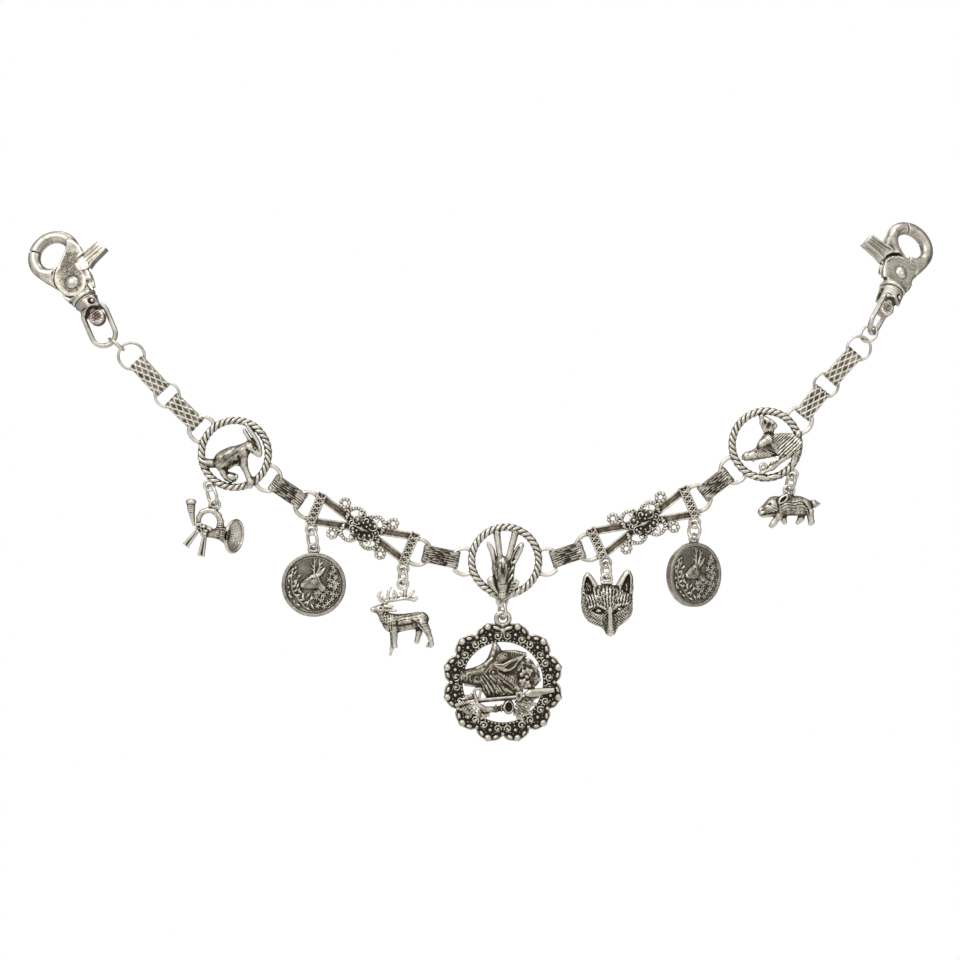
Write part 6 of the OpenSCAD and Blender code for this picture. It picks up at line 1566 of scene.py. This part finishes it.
# Placing. The large numbers are triangles kept
CHAIN_TRIANGLES = 60000
for k, (name, carve) in enumerate((("hare_roundel", hare), ("roebuck_roundel", roebuck), ("grouse_roundel", grouse))):
    sculpt = roundel(k)
    carve(sculpt)
    make(name + "_cast", sculpt, stood(ROUNDEL_AT[k]), cast_silver, "chain", name, CHAIN_TRIANGLES)
for k, name in enumerate(("left_bow", "right_bow")):
    make(name + "_cast", bow(k), stood(BOW_AT[k], BOW_TURN[k]), bow_cast, "chain", name,
         CHAIN_TRIANGLES)
at = CHARM_AT["pendant"]
make("boar_head_pendant_cast", pendant(), hung((at[0], at[1] - PENDANT_DROP)), dark_cast, "pendant",
     "boar_head_pendant", 150000, lit_head)
for name, form, triangles in (
    ("horn", hunting_horn, 44000), ("stag", stag, 30000), ("fox", fox, 40000), ("boar", boar, 30000)
):
    make(name + "_charm_cast", form(), hung(CHARM_AT[name]), charm_silver, "chain", name + "_charm",
         triangles)
for name, turn in (("left_coin", 0), ("right_coin", 34)):
    make(name + "_cast", coin(), hung(CHARM_AT[name], turn), coin_silver, "chain", name, 42000,
         dull_rim)
for side, (rivet, axis, face) in CLASPS.items():
    for part, form in (("hook", clasp_hook), ("lever", clasp_lever)):
        node = f"{side}_clasp_{part}"
        make(node + "_cast", form(), placed(rivet, axis, face), clasp_cast[side],
             f"{side}_clasp" if part == "hook" else f"{side}_lever", node, 32000, stippled)
    make(side + "_swivel_pin_cast", swivel_pin(), placed(rivet, axis, face), swivel_cast[side], "chain",
         side + "_swivel_pin", 14000)


def loop_at(k, side):
    return np.add(ROUNDEL_AT[k], polar(LOOP_OUT, ROUNDEL_LOOPS[k][side])), *LOOP


def bow_loop(k, side):
    return np.add(BOW_AT[k], turned(((-1, 1)[side] * BOW_LOOP_X, 0), BOW_TURN[k])), *LOOP


# a lattice is 0, and a bark pattern is its own seed
for n, (a, b, bark) in enumerate((
    (*LEFT_RINGS, 0), (LEFT_RINGS[1], loop_at(0, 0), 0), (loop_at(0, 1), bow_loop(0, 0), 3),
    (bow_loop(0, 1), loop_at(1, 0), 4), (loop_at(1, 1), bow_loop(1, 0), 5), (bow_loop(1, 1), loop_at(2, 0), 6),
    (loop_at(2, 1), RIGHT_RINGS[0], 0), (*RIGHT_RINGS, 0)
)):
    strip(f"strip_{n + 1}", *a, *b, bark)

# The plain wire pieces keep their CAD shapes
for name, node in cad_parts.items():
    if not node.hide_render:
        node.data.materials.clear()
        node.data.materials.append(clasp_silver if "clasp" in name or "pin" in name else wire_silver)
        node.data.shade_smooth()

# Stage: pale floor, a soft white studio, and the camera at the photograph's angle
floor_mesh = bpy.data.meshes.new("floor")
FLOOR_Z = -0.32
corners = [(-1.6, -2, FLOOR_Z), (1.9, -2, FLOOR_Z), (1.9, 0.48, FLOOR_Z), (-1.6, 0.48, FLOOR_Z)]
floor_mesh.from_pydata(corners, [], [(0, 1, 2, 3)])
floor = bpy.data.objects.new("floor", floor_mesh)
bpy.context.scene.collection.objects.link(floor)
pale = bpy.data.materials.new("pale_floor")
pale.use_nodes = True
shader = pale.node_tree.nodes["Principled BSDF"]
shader.inputs["Base Color"].default_value = (0.86, 0.86, 0.85, 1)
shader.inputs["Roughness"].default_value = 0.9
floor_mesh.materials.append(pale)

# the middle of the picture, in metres, and the camera's distance from it
CENTRE = (0.1426, CHAIN_Y * MM, -0.075)
CAMERA_AWAY = 1.0667


def area(name, at, size, power, colour=(1, 1, 1)):
    data = bpy.data.lights.new(name, "AREA")
    data.shape = "RECTANGLE"
    data.size, data.size_y = size
    data.energy = power
    data.color = colour
    lamp = bpy.data.objects.new(name, data)
    lamp.location = Vector(CENTRE) + Vector(at)
    lamp.rotation_mode = "QUATERNION"
    lamp.rotation_quaternion = (Vector(CENTRE) - lamp.location).to_track_quat("-Z", "Y")
    bpy.context.scene.collection.objects.link(lamp)


area("key", (-0.45, -0.75, 0.75), (0.7, 0.5), 2.6, (1, 0.985, 0.96))
area("fill", (0.8, -0.7, 0.25), (0.5, 0.7), 0.7, (0.97, 0.985, 1))
area("top", (0.1, 0.1, 0.9), (0.9, 0.4), 1.6)
area("behind", (-0.3, 0.95, 0.5), (0.6, 0.5), 1.2)
world = bpy.data.worlds.new("studio")
bpy.context.scene.world = world
world.use_nodes = True
tree = world.node_tree
background = tree.nodes["Background"]
where = tree.nodes.new("ShaderNodeTexCoord")
aim = tree.nodes.new("ShaderNodeVectorMath")
aim.operation = "DOT_PRODUCT"
aim.inputs[1].default_value = (-0.2, -0.6, 0.48)
tree.links.new(where.outputs["Generated"], aim.inputs[0])
tone = tree.nodes.new("ShaderNodeValToRGB")
stops = tone.color_ramp.elements
stops[0].position, stops[0].color = 0.0, (0.16, 0.155, 0.15, 1)
stops[1].position, stops[1].color = 1.0, (1.0, 0.99, 0.97, 1)
for at, level in ((0.22, 0.14), (0.5, 0.24), (0.74, 0.62)):
    stop = stops.new(at)
    stop.color = (level, level * 0.99, level * 0.96, 1)
lift = tree.nodes.new("ShaderNodeMapRange")
lift.inputs[1].default_value, lift.inputs[2].default_value = -0.8, 0.8
tree.links.new(aim.outputs["Value"], lift.inputs[0])
tree.links.new(lift.outputs[0], tone.inputs[0])
seen = tree.nodes.new("ShaderNodeLightPath")
blend = tree.nodes.new("ShaderNodeMix")
blend.data_type = "RGBA"
tree.links.new(seen.outputs["Is Camera Ray"], blend.inputs[0])
tree.links.new(tone.outputs[0], blend.inputs[6])
blend.inputs[7].default_value = (1, 1, 1, 1)
tree.links.new(blend.outputs[2], background.inputs[0])
background.inputs[1].default_value = 1.0
bpy.context.scene.view_settings.view_transform = "Standard"

camera = bpy.data.cameras.new("camera")
camera.lens, camera.sensor_width = 120, 36
viewer = bpy.data.objects.new("camera", camera)
viewer.location = (CENTRE[0], CENTRE[1] - CAMERA_AWAY, CENTRE[2])
viewer.rotation_euler = (math.pi / 2, 0, 0)
bpy.context.scene.collection.objects.link(viewer)
bpy.context.scene.camera = viewer
